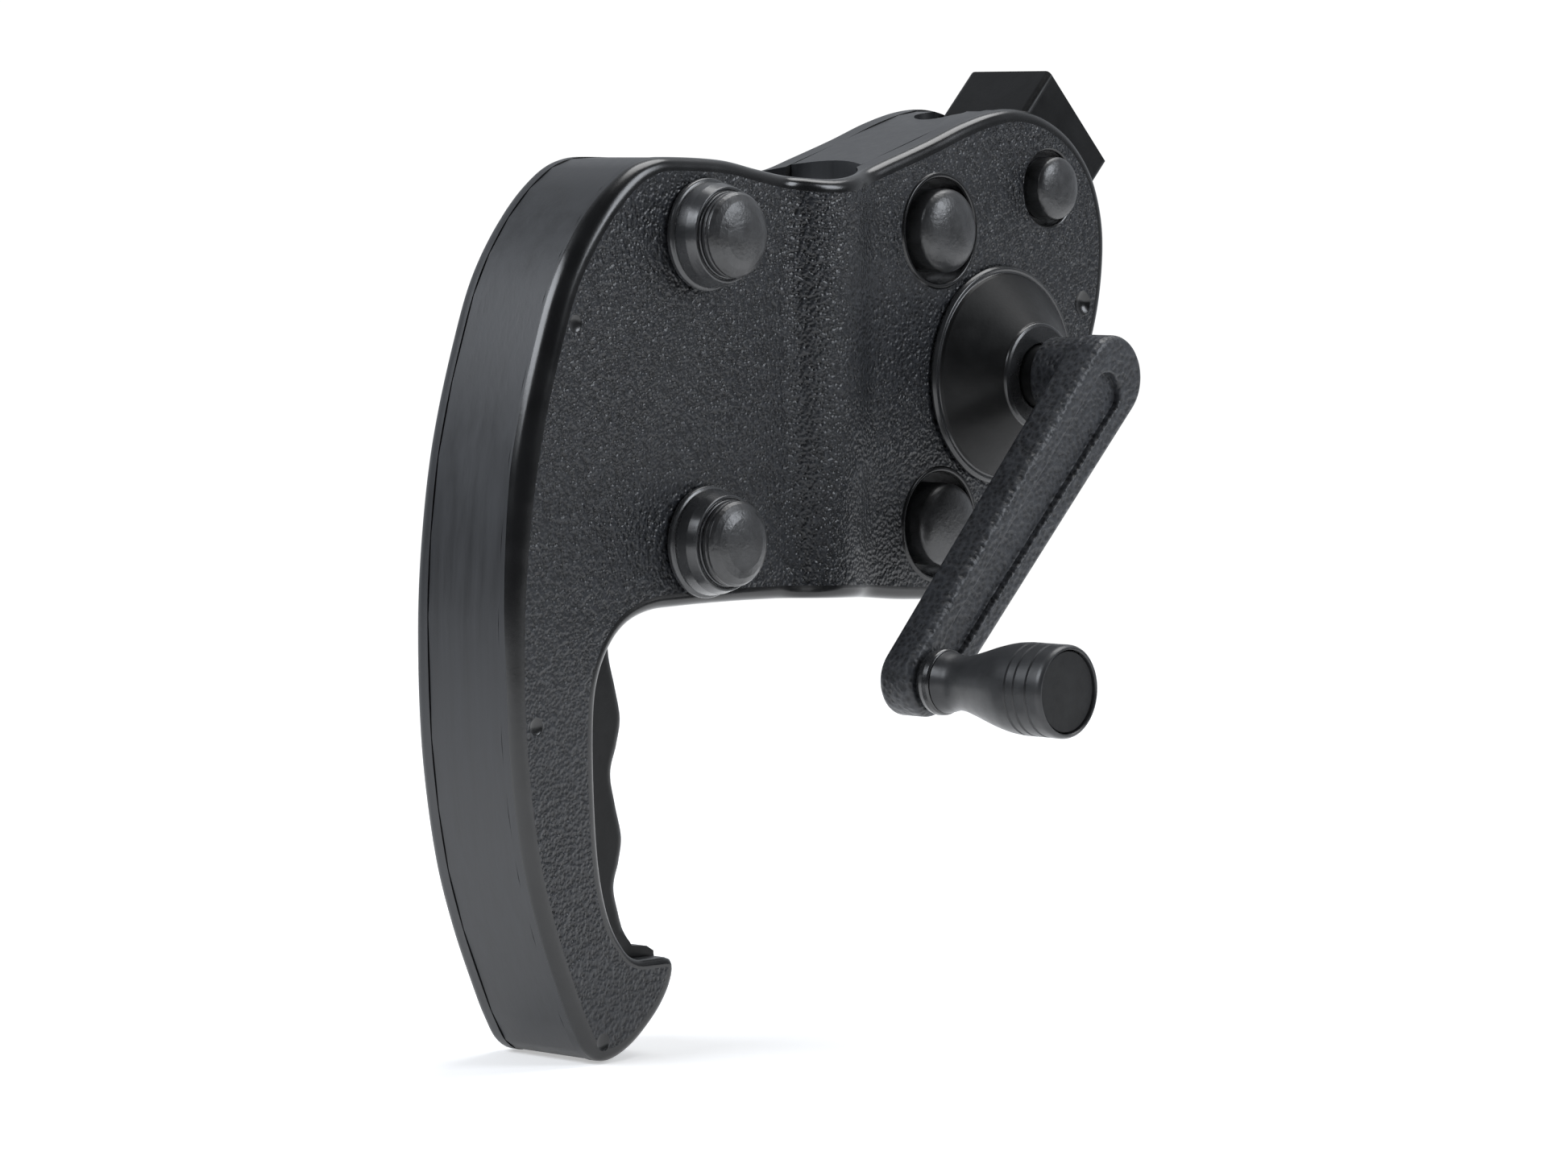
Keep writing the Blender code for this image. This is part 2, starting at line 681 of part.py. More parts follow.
# Guide shoes: concave pads that bear on the mast's round tube, each with a peg into the block.
arc = [math.radians(SHOE_HALF_DEG) * (k / 5 - 1) for k in range(11)]
pad = [(SHOE_OUT * math.cos(a), SHOE_OUT * math.sin(a)) for a in arc]
pad += [(SHOE_IN * math.cos(a), SHOE_IN * math.sin(a)) for a in reversed(arc)]
for label, height in (("upper", BOLT_Z), ("lower", -BOLT_Z)):
    shoe = flat(f"guide_shoe_{label}", pad, height - 15.0, height + 15.0, "acetal", upright=True)
    join(shoe, along_x(f"shoe_peg_{label}", 3.0, 23.0, 32.8, None, 16, height))

# Guide rollers that turn on the left bolts.
roller = (
    (BOLT_R + GAP, -13.5), (6.2, -13.5), (ROLLER_R, -12.9),
    (ROLLER_R, 12.9), (6.2, 13.5), (BOLT_R + GAP, 13.5),
)
for label, height in (("upper", BOLT_Z), ("lower", -BOLT_Z)):
    turned(f"guide_roller_{label}", roller, at(LEFT_BOLT_X, height), "acetal", "Y", 20, True)


def bolt_and_nut(tag, place, front_seat, rear_seat):
    """A hexagon bolt from the front with its nut behind."""
    bolt = rod(f"clamp_bolt_{tag}", HEX_R, -front_seat - 3.9, -front_seat, place, "steel", 6)
    join(bolt, rod(f"shank_{tag}", BOLT_R, -front_seat - 1.0, rear_seat + 4.6, place, None, 12))
    nut = rod(f"clamp_nut_{tag}", HEX_R, rear_seat, rear_seat + 4.0, place, "steel", 6)
    cut(nut, rod(f"nut_bore_{tag}", BOLT_R + GAP, rear_seat - 5, rear_seat + 9, place, None, 12))


def pointed(profile, side):
    return [(r, side * y) for r, y in profile]


def collar_profile(base):
    """A stepped collar round a left bolt's head; the bolt clamps its floor."""
    return [
        (BOLT_R + GAP, base), (COLLAR_R, base), (COLLAR_R, base + 1.6), (BARREL_R, base + 2.3),
        (BARREL_R, base + 7.4), (BARREL_R - 1.6, base + 9.7),
        (8.5, base + 9.7), (8.5, base + 2.0), (BOLT_R + GAP, base + 2.0),
    ]


def dome_profile(seat):
    """A domed cap with a skirt that plugs into the collar."""
    return [
        (0.0, seat + 3.4), (6.9, seat + 3.2), (6.9, seat - 2.8),
        (8.2, seat - 2.8), (8.2, seat), (CAP_R, seat),
        (CAP_R, seat + 3.0), (CAP_R - 1.8, seat + 5.2), (CAP_R - 6.4, seat + 6.3), (0.0, seat + 6.5),
    ]


def rear_profile(base):
    """The same outer shape in one piece, pushed over a left bolt's nut."""
    return [
        (0.0, base + 13.2), (8.2, base + 12.8), (8.2, base), (COLLAR_R, base), (COLLAR_R, base + 1.6),
        (BARREL_R, base + 2.3), (BARREL_R, base + 7.4), (BARREL_R - 1.6, base + 9.7),
        (CAP_R, base + 10.0), (CAP_R, base + 13.0), (CAP_R - 1.8, base + 15.2),
        (CAP_R - 6.4, base + 16.3), (0.0, base + 16.5),
    ]


def button_profile(seat, outer, inner, straight, rise):
    """A round cap over a bolt or pin head: straight sides, then a dome."""
    return [
        (0.0, seat + straight - 1.0), (inner, seat + straight - 1.4), (inner, seat), (outer, seat),
        (outer, seat + straight), (outer * 0.86, seat + straight + rise * 0.62),
        (outer * 0.5, seat + straight + rise * 0.94), (0.0, seat + straight + rise),
    ]


seat = LEFT_FACE + GAP
for label, left, right in zip(("upper", "lower"), left_bolts, right_bolts):
    bolt_and_nut(f"left_{label}", left, LEFT_FACE + 2.6, seat)
    bolt_and_nut(f"right_{label}", right, POCKET_FLOOR + GAP, POCKET_FLOOR + GAP)
    turned(f"bolt_collar_{label}", pointed(collar_profile(seat), -1), left, "plastic", "Y", 20, True)
    turned(f"left_cap_front_{label}", pointed(dome_profile(seat + 10.0), -1), left, "plastic", "Y", 20)
    turned(f"left_cap_rear_{label}", rear_profile(seat), left, "plastic", "Y", 20)
    for tag, side in (("front", -1), ("rear", 1)):
        button = pointed(button_profile(POCKET_FLOOR + GAP, 12.5, 7.2, 7.8, 4.2), side)
        turned(f"right_cap_{tag}_{label}", button, right, "plastic", "Y", 20)
for tag, side in (("front", -1), ("rear", 1)):
    button = pointed(button_profile(PIVOT_FLOOR + GAP, 9.5, 7.7, 5.6, 2.6), side)
    turned(f"pivot_cap_{tag}", button, pivot, "plastic", "Y", 20)

# Cover screws, driven from behind.
screw = ((3.4, 20.4), (3.4, 18.6), (SCREW_R, 18.4), (SCREW_R, -16.6))
for number, place in enumerate(screw_places, 1):
    turned(f"cover_screw_{number}", screw, place, "steel", "Y", 8)

# The strut's pivot.
seat = PIVOT_FLOOR + GAP
pin = ((7.0, -seat - 2.6), (7.0, -seat), (5.0, -seat), (5.0, seat + 4.2))
turned("pivot_pin", pin, pivot, "steel", "Y", 18)
pivot_nut = rod("pivot_nut", 7.4, seat, seat + 3.6, pivot, "steel", 6)
cut(pivot_nut, rod("pivot_nut_bore", 5.0 + GAP, seat - 5, seat + 9, pivot, None, 20))
tube("pivot_bush_front", 5.3, 6.8, -SOCKET_HALF_Y, -8.0, pivot, "acetal", 20)
tube("pivot_bush_rear", 5.3, 6.8, 8.0, SOCKET_HALF_Y, pivot, "acetal", 20)

# The strut's socket, drawn along X and then turned onto the strut's axis.
ARM_AXIS = bpy.data.objects.new("strut_axis", None)
PARTS.objects.link(ARM_AXIS)
ARM_AXIS.location = Vector(pivot) * MM
ARM_AXIS.rotation_euler = (0.0, -math.radians(ARM_DEG), 0.0)


def on_strut(made):
    made.parent = ARM_AXIS
    return made


outline = [(SOCKET_LENGTH, SOCKET_HALF_T)]
for i in range(15):
    angle = math.pi / 2 + math.pi * i / 14
    outline.append((SOCKET_HALF_T * math.cos(angle), SOCKET_HALF_T * math.sin(angle)))
outline.append((SOCKET_LENGTH, -SOCKET_HALF_T))
arm_socket = on_strut(rounded(flat("arm_socket", outline, -SOCKET_HALF_Y, SOCKET_HALF_Y, "plastic"), 1.8, 2))
cut(
    arm_socket,
    on_strut(box(
        "strut_pocket", (SOCKET_FLOOR, -STRUT_HALF_Y, -STRUT_HALF_T), (60.0, STRUT_HALF_Y, STRUT_HALF_T)
    )),
    on_strut(rod("socket_bore", 7.1, -30, 30, at(0.0, 0.0), None, 20)),
    on_strut(along_z("screw_seat", 3.7, 22.0, 0.0, -24.0, -18.2, 14)),
    on_strut(along_z("screw_way", 2.0, 22.0, 0.0, -24.0, -14.0, 12)),
)
screw = ((3.4, -19.7), (3.4, -18.5), (1.7, -18.5), (1.7, -17.2))
on_strut(turned("socket_screw", screw, (22.0, 0.0, 0.0), "steel", "Z", 14))

# The crank's housing and brake.
base = RIGHT_FACE + GAP
front = HOUSING_FRONT_Y
housing = (
    (27.2, -base), (HOUSING_BASE_R, -base), (HOUSING_BASE_R, -base - 1.2),
    (HOUSING_BASE_R - 1.8, -base - 2.4),
    (HOUSING_FRONT_R + 0.6, -front + 0.8), (HOUSING_FRONT_R - 0.2, -front),
    (9.8, -front), (9.8, -34.6), (15.0, -34.6), (25.0, -base - 4.8), (27.2, -base - 3.8),
)
turned("crank_housing", housing, crank, "plastic", "Y", 32, True)
sleeve = (
    (15.3, -13.6), (19.5, -13.6), (19.5, -base), (26.4, -base), (26.4, -base - 2.2), (19.5, -base - 2.2),
    (17.4, -32.4), (15.3, -32.4),
)
turned("brake_sleeve", sleeve, crank, "steel", "Y", 24, True)
tube("drive_hub", SHAFT_R + GAP, 12.6, -32.4, -13.2, crank, "steel", 24)
coil("brake_spring", 14.0, 0.8, -31.0, -15.4, 4.0, "Y", crank, "steel")
bush = ((5.3, -42.7), (9.5, -42.7), (9.5, -34.3), (11.6, -34.3), (11.6, -32.8), (5.3, -32.8))
turned("front_bush", bush, crank, "plastic", "Y", 24, True)

# The crank's shaft and drum.
crank_shaft = turned("crank_shaft", ((SHAFT_R, -57.6), (SHAFT_R, 19.8)), crank, "steel", "Y", 20)
cut(crank_shaft, along_z("shaft_pin_hole", 1.8, CRANK_X, -48.5, -20, 20))
drum = (
    (SHAFT_R + GAP, -12.4), (DRUM_R, -11.6), (DRUM_R, -9.8), (11.6, -8.8), (11.6, 9.2),
    (DRUM_R, 10.2), (DRUM_R, 12.0), (SHAFT_R + GAP, 12.8),
)
cord_drum = turned("cord_drum", drum, crank, "plastic", "Y", 24, True)
cut(cord_drum, rod("cord_anchor_hole", 2.4, 6.0, 16.0, at(CRANK_X + 17.5, 0), None, 12))
tube("shaft_clip", 5.3, 8.6, 13.1, 14.2, crank, "steel", 20)
tube("rear_bush", 5.3, 8.0, 14.6, 20.1, crank, "acetal", 20)

# The crank's arm.
RUN = Vector((KNOB_X - CRANK_X, KNOB_Z))
HEADING = math.atan2(RUN.y, RUN.x)


def stadium(near, near_r, far, far_r, steps):
    """Two round ends of unlike radius and the tangents between them, along the crank's arm."""
    lean = math.acos((near_r - far_r) / (far - near))
    points = []
    for spot, radius, start, sweep in (
        (near, near_r, HEADING + lean, 2 * math.pi - 2 * lean), (far, far_r, HEADING - lean, 2 * lean),
    ):
        centre = Vector((CRANK_X, 0.0)) + RUN.normalized() * spot
        for i in range(steps + 1):
            angle = start + sweep * i / steps
            points.append((centre.x + radius * math.cos(angle), centre.y + radius * math.sin(angle)))
    return points


arm_line = stadium(0.0, 13.0, RUN.length, 10.6, 12)
crank_arm = flat("crank_arm", arm_line, -ARM_FRONT_Y, -ARM_BACK_Y, "plastic", (CRANK_X, 0.0))
rounded(crank_arm, 2.0, 2)
join(crank_arm, rod("arm_hub", HUB_R, -HUB_BACK_Y, -ARM_BACK_Y - 3.0, crank, None, 28))
cut(
    crank_arm,
    flat("arm_channel", stadium(6.0, 6.2, RUN.length - 15.0, 4.6, 8), -ARM_FRONT_Y - 3.0, -ARM_FRONT_Y + 1.5),
    rod("shaft_bore", SHAFT_R + GAP, -30.0, -58.0, crank, None, 20),
    along_z("hub_pin_hole", 1.8, CRANK_X, -48.5, -20, 20),
    rod("knob_screw_bore", 3.3, -50.0, -80.0, at(KNOB_X, KNOB_Z), None, 16),
)
hub_pin = along_z("hub_pin", 1.5, CRANK_X, -48.5, -11.6, 11.6, 10, "steel")

# The knob on its shoulder screw.
knob = at(KNOB_X, KNOB_Z)
shoulder = ((5.6, -111.6), (5.6, -108.4), (4.0, -108.4), (4.0, -67.4), (3.0, -67.4), (3.0, -56.0))
turned("knob_screw", shoulder, knob, "steel", "Y", 16)
ferrule = ((4.3, -67.3), (7.8, -67.3), (9.2, -69.2), (9.2, -71.2), (7.8, -73.0), (4.3, -73.0))
turned("knob_ferrule", ferrule, knob, "plastic", "Y", 20, True)
grip = (
    (4.3, -73.3), (9.0, -73.3), (7.9, -78.0), (8.3, -82.4), (11.6, -93.4), (12.9, -99.0), (13.4, -106.0),
    (13.4, -116.0), (12.6, -KNOB_END_Y), (12.0, -KNOB_END_Y), (12.0, -113.6), (7.0, -113.6), (7.0, -107.4),
    (4.3, -107.4),
)
turned("knob_grip", grip, knob, "plastic", "Y", 24, True)
rod("knob_end_cap", 11.7, -116.6, -113.9, knob, "plastic", 24)

# The release lever: a grip with finger bumps, and a forked tail that reaches the lock pin.
lever = at(LEVER_X, LEVER_Z)
hub_line = [
    (LEVER_X + 6.6 * math.cos(-math.pi * i / 6), LEVER_Z + 6.6 * math.sin(-math.pi * i / 6)) for i in range(7)
]
lever_line = open_spline(FINGER_EDGE, 2) + hub_line + list(LEVER_BACK)
grip_line = [p for p in reversed(lever_line) if p[1] < -54.0]
FINGER_ROUND = ((0.0, 4.6), (0.9, 2.3), (2.4, 0.8), (4.6, 0.0))


def grip_body():
    """The lever's grip: its outline from side to side, drawn in round the finger edge only."""
    along = normals(grip_line)
    reach = [max(0.0, min(1.0, (-61.0 - z) / 4, (z + 158.5) / 5)) if x > -86.5 else 0.0 for x, z in grip_line]
    rings = []
    for depth, shrink in FINGER_ROUND:
        loop = inset(grip_line, [shrink * r for r in reach], along)
        rings.append((depth - LEVER_HALF, loop))
    rings += [(-y, loop) for y, loop in reversed(rings)]
    verts = [(x - LEVER_X, y, z - LEVER_Z) for y, loop in rings for x, z in loop]
    count = len(grip_line)
    faces = ring_faces(len(rings), count)
    faces += [tuple(range(count)), tuple(range(len(verts) - count, len(verts)))]
    made = skin("release_lever", verts, faces, "plastic")
    made.location = Vector((LEVER_X, 0.0, LEVER_Z)) * MM
    return made


release_lever = grip_body()
for side in (-1, 1):
    near, far = sorted((side * TAIL_HALF, side * 40))
    cut(release_lever, box(f"hub_side_{side + 1}", (-120, near, -190), (-50, far, -160.5)))
tail_line = [(-87.6, -57.0), (-90.0, -80.0), (-98.0, -80.0), (-98.6, -60.0), *LEVER_BACK[6:]]
tail = flat("lever_tail", tail_line, -TAIL_HALF, TAIL_HALF)
toe_line = [
    (-85.0, -160.5), (-85.0, -159.0), (-78.6, -159.0), (-72.0, -159.8), (-69.2, -161.4), (-68.6, -166.2),
    (-77.0, -166.2),
]
join(release_lever, tail, flat("lever_toe", toe_line, -LEVER_HALF, LEVER_HALF))
cut(
    release_lever,
    box("fork_room", (-110, -7.3, -10), (-50, 7.3, 30)),
    box("fork_slots", (CROSS_X - 2.5, -30, -4), (CROSS_X + 2.5, 30, 30)),
    rod("lever_bore", 2.8, -30, 30, lever, None, 16),
)
rod("lever_pivot_pin", 2.5, -COVER_IN + 2 * GAP, COVER_IN - 2 * GAP, lever, "steel", 16)

# The lock pin with its guide, cross pin and spring.
pin = (
    (3.2, -88.0), (3.2, -84.0), (PIN_R, -84.0), (PIN_R, PIN_TIP_X - 1.6), (PIN_R - 1.6, PIN_TIP_X),
)
lock_pin = turned("lock_pin", pin, (0.0, 0.0, 0.0), "steel", "X", 24)
cut(lock_pin, rod("cross_hole", 2.3, -20, 20, at(CROSS_X, 0), None, 14))
rod("lock_cross_pin", 2.0, -10.2, 10.2, at(CROSS_X, 0), "steel", 14)
guide = ((7.1, -68.4), (9.5, -68.4), (9.5, -50.4), (7.1, -50.4))
turned("lock_pin_guide", guide, (0.0, 0.0, 0.0), "acetal", "X", 24, True)
coil("lock_spring", 4.7, 0.7, -85.2, SPRING_BACK_X + 0.8, 6.0, "X", (0.0, 0.0, 0.0), "steel")
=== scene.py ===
"""Looks of the cantilever parasol slider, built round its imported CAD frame.

Tables below are millimetres in the part's own frame: X from the handle to the crank, Y from the front
cover to the rear one, Z up along the mast. A piece is made in metres and rides on its CAD body.
"""

import json
import math

import bmesh
import bpy
from mathutils import Matrix, Vector
from mathutils.geometry import delaunay_2d_cdt

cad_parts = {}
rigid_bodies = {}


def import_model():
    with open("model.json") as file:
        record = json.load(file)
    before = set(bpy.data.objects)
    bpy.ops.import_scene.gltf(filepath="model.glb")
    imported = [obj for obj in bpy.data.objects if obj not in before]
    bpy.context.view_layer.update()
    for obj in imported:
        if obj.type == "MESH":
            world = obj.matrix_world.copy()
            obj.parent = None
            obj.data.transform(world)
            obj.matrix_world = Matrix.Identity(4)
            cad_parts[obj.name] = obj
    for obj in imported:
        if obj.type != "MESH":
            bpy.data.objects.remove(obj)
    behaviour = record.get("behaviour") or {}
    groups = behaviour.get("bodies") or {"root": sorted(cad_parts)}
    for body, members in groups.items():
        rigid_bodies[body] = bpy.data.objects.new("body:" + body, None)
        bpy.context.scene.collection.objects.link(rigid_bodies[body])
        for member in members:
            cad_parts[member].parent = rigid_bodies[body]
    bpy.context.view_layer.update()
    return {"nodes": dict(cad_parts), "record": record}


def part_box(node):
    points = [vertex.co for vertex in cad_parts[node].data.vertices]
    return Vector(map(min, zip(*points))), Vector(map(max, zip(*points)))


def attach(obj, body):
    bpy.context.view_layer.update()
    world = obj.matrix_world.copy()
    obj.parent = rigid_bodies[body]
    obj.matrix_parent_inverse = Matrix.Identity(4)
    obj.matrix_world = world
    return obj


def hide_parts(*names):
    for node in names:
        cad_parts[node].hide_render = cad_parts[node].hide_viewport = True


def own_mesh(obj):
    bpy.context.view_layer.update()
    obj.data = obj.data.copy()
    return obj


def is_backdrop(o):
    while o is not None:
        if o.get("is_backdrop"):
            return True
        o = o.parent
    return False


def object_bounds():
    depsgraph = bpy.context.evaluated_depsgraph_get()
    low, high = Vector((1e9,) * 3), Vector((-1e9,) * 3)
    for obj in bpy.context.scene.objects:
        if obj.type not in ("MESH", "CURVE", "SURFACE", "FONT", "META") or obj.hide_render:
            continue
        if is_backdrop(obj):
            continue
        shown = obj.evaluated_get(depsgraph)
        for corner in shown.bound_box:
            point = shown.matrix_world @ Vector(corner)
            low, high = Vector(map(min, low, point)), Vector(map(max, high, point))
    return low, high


MM = 0.001
GAP = 0.3

for old in list(bpy.data.objects):
    bpy.data.objects.remove(old, do_unlink=True)

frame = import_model()
NODES = frame["nodes"]

# ---- materials


class Look:
    """A node material round one Principled shader, with short calls for the nodes that feed it."""

    def __init__(self, name, roughness, metallic=0.0, specular=0.5):
        self.material = bpy.data.materials.new(name)
        self.material.use_nodes = True
        self.tree = self.material.node_tree
        self.shader = self.tree.nodes["Principled BSDF"]
        self.set("Metallic", metallic)
        self.set("Roughness", roughness)
        self.set("Specular IOR Level", specular)
        self.place = self.tree.nodes.new("ShaderNodeTexCoord").outputs["Object"]
        self.height = None

    def set(self, socket, value):
        """Gives one of the shader's own sockets a value."""
        self.shader.inputs[socket].default_value = value

    def link(self, a, b):
        """Joins an output to an input."""
        self.tree.links.new(a, b)

    def math(self, operation, a, b):
        """The sum or product of two values, each a number or another node's output."""
        node = self.tree.nodes.new("ShaderNodeMath")
        node.operation = operation
        for socket, value in zip(node.inputs, (a, b)):
            if isinstance(value, (int, float)):
                socket.default_value = value
            else:
                self.link(value, socket)
        return node.outputs[0]

    def stretched(self, scale):
        """Object coordinates times scale, for a pattern that is longer one way."""
        node = self.tree.nodes.new("ShaderNodeMapping")
        node.inputs["Scale"].default_value = scale
        self.link(self.place, node.inputs["Vector"])
        return node.outputs[0]

    def noise(self, scale, detail=3.0, rough=0.55, place=None, distortion=0.0):
        """Cloudy noise, with scale in cells per metre."""
        node = self.tree.nodes.new("ShaderNodeTexNoise")
        node.inputs["Scale"].default_value = scale
        node.inputs["Detail"].default_value = detail
        node.inputs["Roughness"].default_value = rough
        node.inputs["Distortion"].default_value = distortion
        self.link(place or self.place, node.inputs["Vector"])
        return node.outputs["Fac"]

    def cells(self, scale, smoothness):
        """Rounded pits in a random cell pattern, with scale in cells per metre."""
        node = self.tree.nodes.new("ShaderNodeTexVoronoi")
        node.feature = "SMOOTH_F1"
        node.inputs["Scale"].default_value = scale
        node.inputs["Smoothness"].default_value = smoothness
        self.link(self.place, node.inputs["Vector"])
        return node.outputs["Distance"]

    def spread(self, value, low, high, to_low=0.0, to_high=1.0):
        """The value from low to high, spread over to_low to to_high and held there outside."""
        node = self.tree.nodes.new("ShaderNodeMapRange")
        for socket, number in zip(list(node.inputs)[1:5], (low, high, to_low, to_high)):
            socket.default_value = number
        self.link(value, node.inputs[0])
        return node.outputs[0]

    def tint(self, value, dark, light):
        """Sets the base colour, from dark to light as the value goes from 0 to 1."""
        node = self.tree.nodes.new("ShaderNodeMix")
        node.data_type = "RGBA"
        sockets = [s for s in node.inputs if s.type == "RGBA"]
        sockets[0].default_value = (*dark, 1.0)
        sockets[1].default_value = (*light, 1.0)
        self.link(value, node.inputs[0])
        mixed = [s for s in node.outputs if s.type == "RGBA"][0]
        self.link(mixed, self.shader.inputs["Base Color"])

    def bump(self, height, depth_mm, strength=1.0):
        """Adds a height field of that depth to the surface."""
        node = self.tree.nodes.new("ShaderNodeBump")
        node.inputs["Distance"].default_value = depth_mm * MM
        node.inputs["Strength"].default_value = strength
        self.link(height, node.inputs["Height"])
        if self.height is not None:
            self.link(self.height, node.inputs["Normal"])
        self.height = node.outputs[0]
        self.link(self.height, self.shader.inputs["Normal"])

    def rough(self, value, low, high):
        """Sets the roughness from a noise value, whose middle part covers low to high."""
        self.link(self.spread(value, 0.3, 0.7, low, high), self.shader.inputs["Roughness"])


def grey(level, blue=0.06):
    """A near neutral dark colour, a little bluer than red."""
    return (level * (1 - blue / 2), level, level * (1 + blue))


def leather_plastic():
    """Black moulded plastic with a fine leather grain; its crests are painted a little lighter, a
    painted highlight, and its tone varies a little in broad patches.
    """
    look = Look("cover_leather_grain", 0.30, specular=0.45)
    worn = look.noise(16, 2, 0.5)
    small = look.cells(900, 0.35)
    large = look.cells(600, 0.5)
    fine = look.noise(1500, 2)
    height = look.math("ADD", look.math("MULTIPLY", small, 0.65), look.math("MULTIPLY", large, 0.65))
    height = look.math("ADD", height, look.math("MULTIPLY", fine, 0.25))
    look.bump(height, 0.44, 1.0)
    # Painted highlight: the colour is lighter on the grain's crests, standing in for the light they
    # catch.
    painted_sheen = look.spread(height, 0.45, 1.0)
    cloud = look.math("ADD", look.math("MULTIPLY", painted_sheen, 0.75), look.math("MULTIPLY", worn, 0.25))
    look.tint(cloud, grey(0.002, 0.10), grey(0.026, 0.16))
    look.rough(worn, 0.24, 0.34)
    return look.material


def smooth_plastic(name, tones, gloss, swirl, scratch, specular):
    """Black moulded plastic with a faint flow pattern, tool marks and dull patches.

    tones are its dark and light grey, gloss its lowest and highest roughness, swirl the flow's scale,
    and scratch the depth of its tool marks in mm.
    """
    look = Look(name, 0.4, specular=specular)
    flow = look.noise(swirl, 4, 0.6, distortion=0.6)
    look.tint(look.spread(flow, 0.3, 0.7), *(grey(tone) for tone in tones))
    look.rough(look.noise(swirl * 2.2, 3), *gloss)
    look.bump(look.noise(900, 3), scratch, 1.0)
    look.bump(look.noise(swirl * 1.4, 2), 0.05, 0.5)
    return look.material


def band_plastic():
    """Anthracite core plastic: satin, with long drawn streaks down the handle and fine scuffs."""
    look = Look("core_satin", 0.42)
    streaks = look.noise(1.0, 5, 0.62, look.stretched((260, 260, 9)))
    scuffs = look.noise(1.0, 2, 0.5, look.stretched((900, 900, 60)))
    patch = look.noise(28, 3)
    mixed = look.math("ADD", look.math("MULTIPLY", streaks, 0.6), look.math("MULTIPLY", patch, 0.4))
    look.tint(look.spread(mixed, 0.3, 0.7), grey(0.018, 0.10), grey(0.034, 0.12))
    look.rough(mixed, 0.34, 0.48)
    look.bump(scuffs, 0.02, 1.0)
    look.bump(streaks, 0.05, 0.7)
    return look.material


def hammered_paint():
    """Charcoal powder paint on the crank's casting: small dimples that catch the light, with their
    crests painted lighter as a painted highlight.
    """
    look = Look("crank_hammered_paint", 0.45, specular=0.5)
    dimples = look.cells(560, 0.45)
    orange = look.noise(1250, 2)
    height = look.math("ADD", dimples, look.math("MULTIPLY", orange, 0.35))
    look.bump(height, 0.34, 1.0)
    patch = look.noise(55, 3)
    # Painted highlight: the dimples' crests are coloured lighter, mixed with random patches of tone.
    painted_sheen = look.spread(height, 0.3, 0.9)
    mixed = look.math("ADD", look.math("MULTIPLY", painted_sheen, 0.6), look.math("MULTIPLY", patch, 0.4))
    look.tint(mixed, grey(0.002, 0.10), grey(0.050, 0.14))
    look.rough(look.noise(120, 3), 0.36, 0.48)
    return look.material


def zinc_steel():
    """Zinc plated steel with a fine rolled texture and a cloudy passivation."""
    look = Look("zinc_steel", 0.3, metallic=1.0)
    rolled = look.noise(420, 4, 0.6)
    cloud = look.noise(140, 3)
    look.tint(look.spread(cloud, 0.3, 0.7), (0.42, 0.43, 0.45), (0.58, 0.58, 0.60))
    look.rough(cloud, 0.24, 0.40)
    look.bump(rolled, 0.012, 1.0)
    return look.material


def bearing_plastic():
    """Off-white acetal with faint machining rings and a waxy face."""
    look = Look("acetal", 0.36)
    rings = look.noise(1.0, 3, 0.5, look.stretched((90, 1400, 90)))
    cloud = look.noise(90, 3)
    look.tint(look.spread(cloud, 0.3, 0.7), (0.62, 0.61, 0.57), (0.74, 0.73, 0.69))
    look.rough(cloud, 0.30, 0.42)
    look.bump(rings, 0.02, 1.0)
    return look.material


LEATHER = leather_plastic()
BAND = band_plastic()
PAINT = hammered_paint()
STEEL = zinc_steel()
ACETAL = bearing_plastic()
RIM_PLASTIC = smooth_plastic("cover_rim", (0.006, 0.011), (0.19, 0.26), 50, 0.012, 0.6)
# The bead's lighter tones paint a highlight on the cone's lip and front edge; its lower roughness is
# real gloss.
BEAD = smooth_plastic("bead_gloss_and_painted_highlight", (0.020, 0.034), (0.20, 0.28), 90, 0.012, 0.7)
INSIDE = smooth_plastic("cover_inside", (0.004, 0.008), (0.42, 0.55), 80, 0.02, 0.3)
CAP = smooth_plastic("cap_satin", (0.012, 0.034), (0.30, 0.42), 150, 0.12, 0.8)
COLLAR = smooth_plastic("collar_semi_gloss", (0.034, 0.050), (0.22, 0.30), 110, 0.02, 0.8)
HOUSING = smooth_plastic("housing_satin", (0.004, 0.009), (0.36, 0.48), 70, 0.03, 0.3)
GRIP = smooth_plastic("lever_satin", (0.004, 0.009), (0.34, 0.46), 70, 0.03, 0.22)
KNOB = smooth_plastic("knob_satin", (0.024, 0.038), (0.30, 0.40), 120, 0.02, 0.5)
DISC = smooth_plastic("knob_end_matt", (0.008, 0.014), (0.46, 0.56), 160, 0.03, 0.25)
FERRULE = smooth_plastic("ferrule_gloss", (0.014, 0.022), (0.20, 0.28), 160, 0.012, 0.8)

# ---- geometry helpers


def keep(name, verts, faces, indices=None):
    """A mesh object from points in mm; indices gives each face's material slot."""
    work = bmesh.new()
    points = [work.verts.new(Vector(v) * MM) for v in verts]
    for number, corners in enumerate(faces):
        made = work.faces.new([points[i] for i in corners])
        if indices is not None:
            made.material_index = indices[number]
    bmesh.ops.recalc_face_normals(work, faces=work.faces)
    mesh = bpy.data.meshes.new(name)
    work.to_mesh(mesh)
    work.free()
    made = bpy.data.objects.new(name, mesh)
    bpy.context.scene.collection.objects.link(made)
    return made


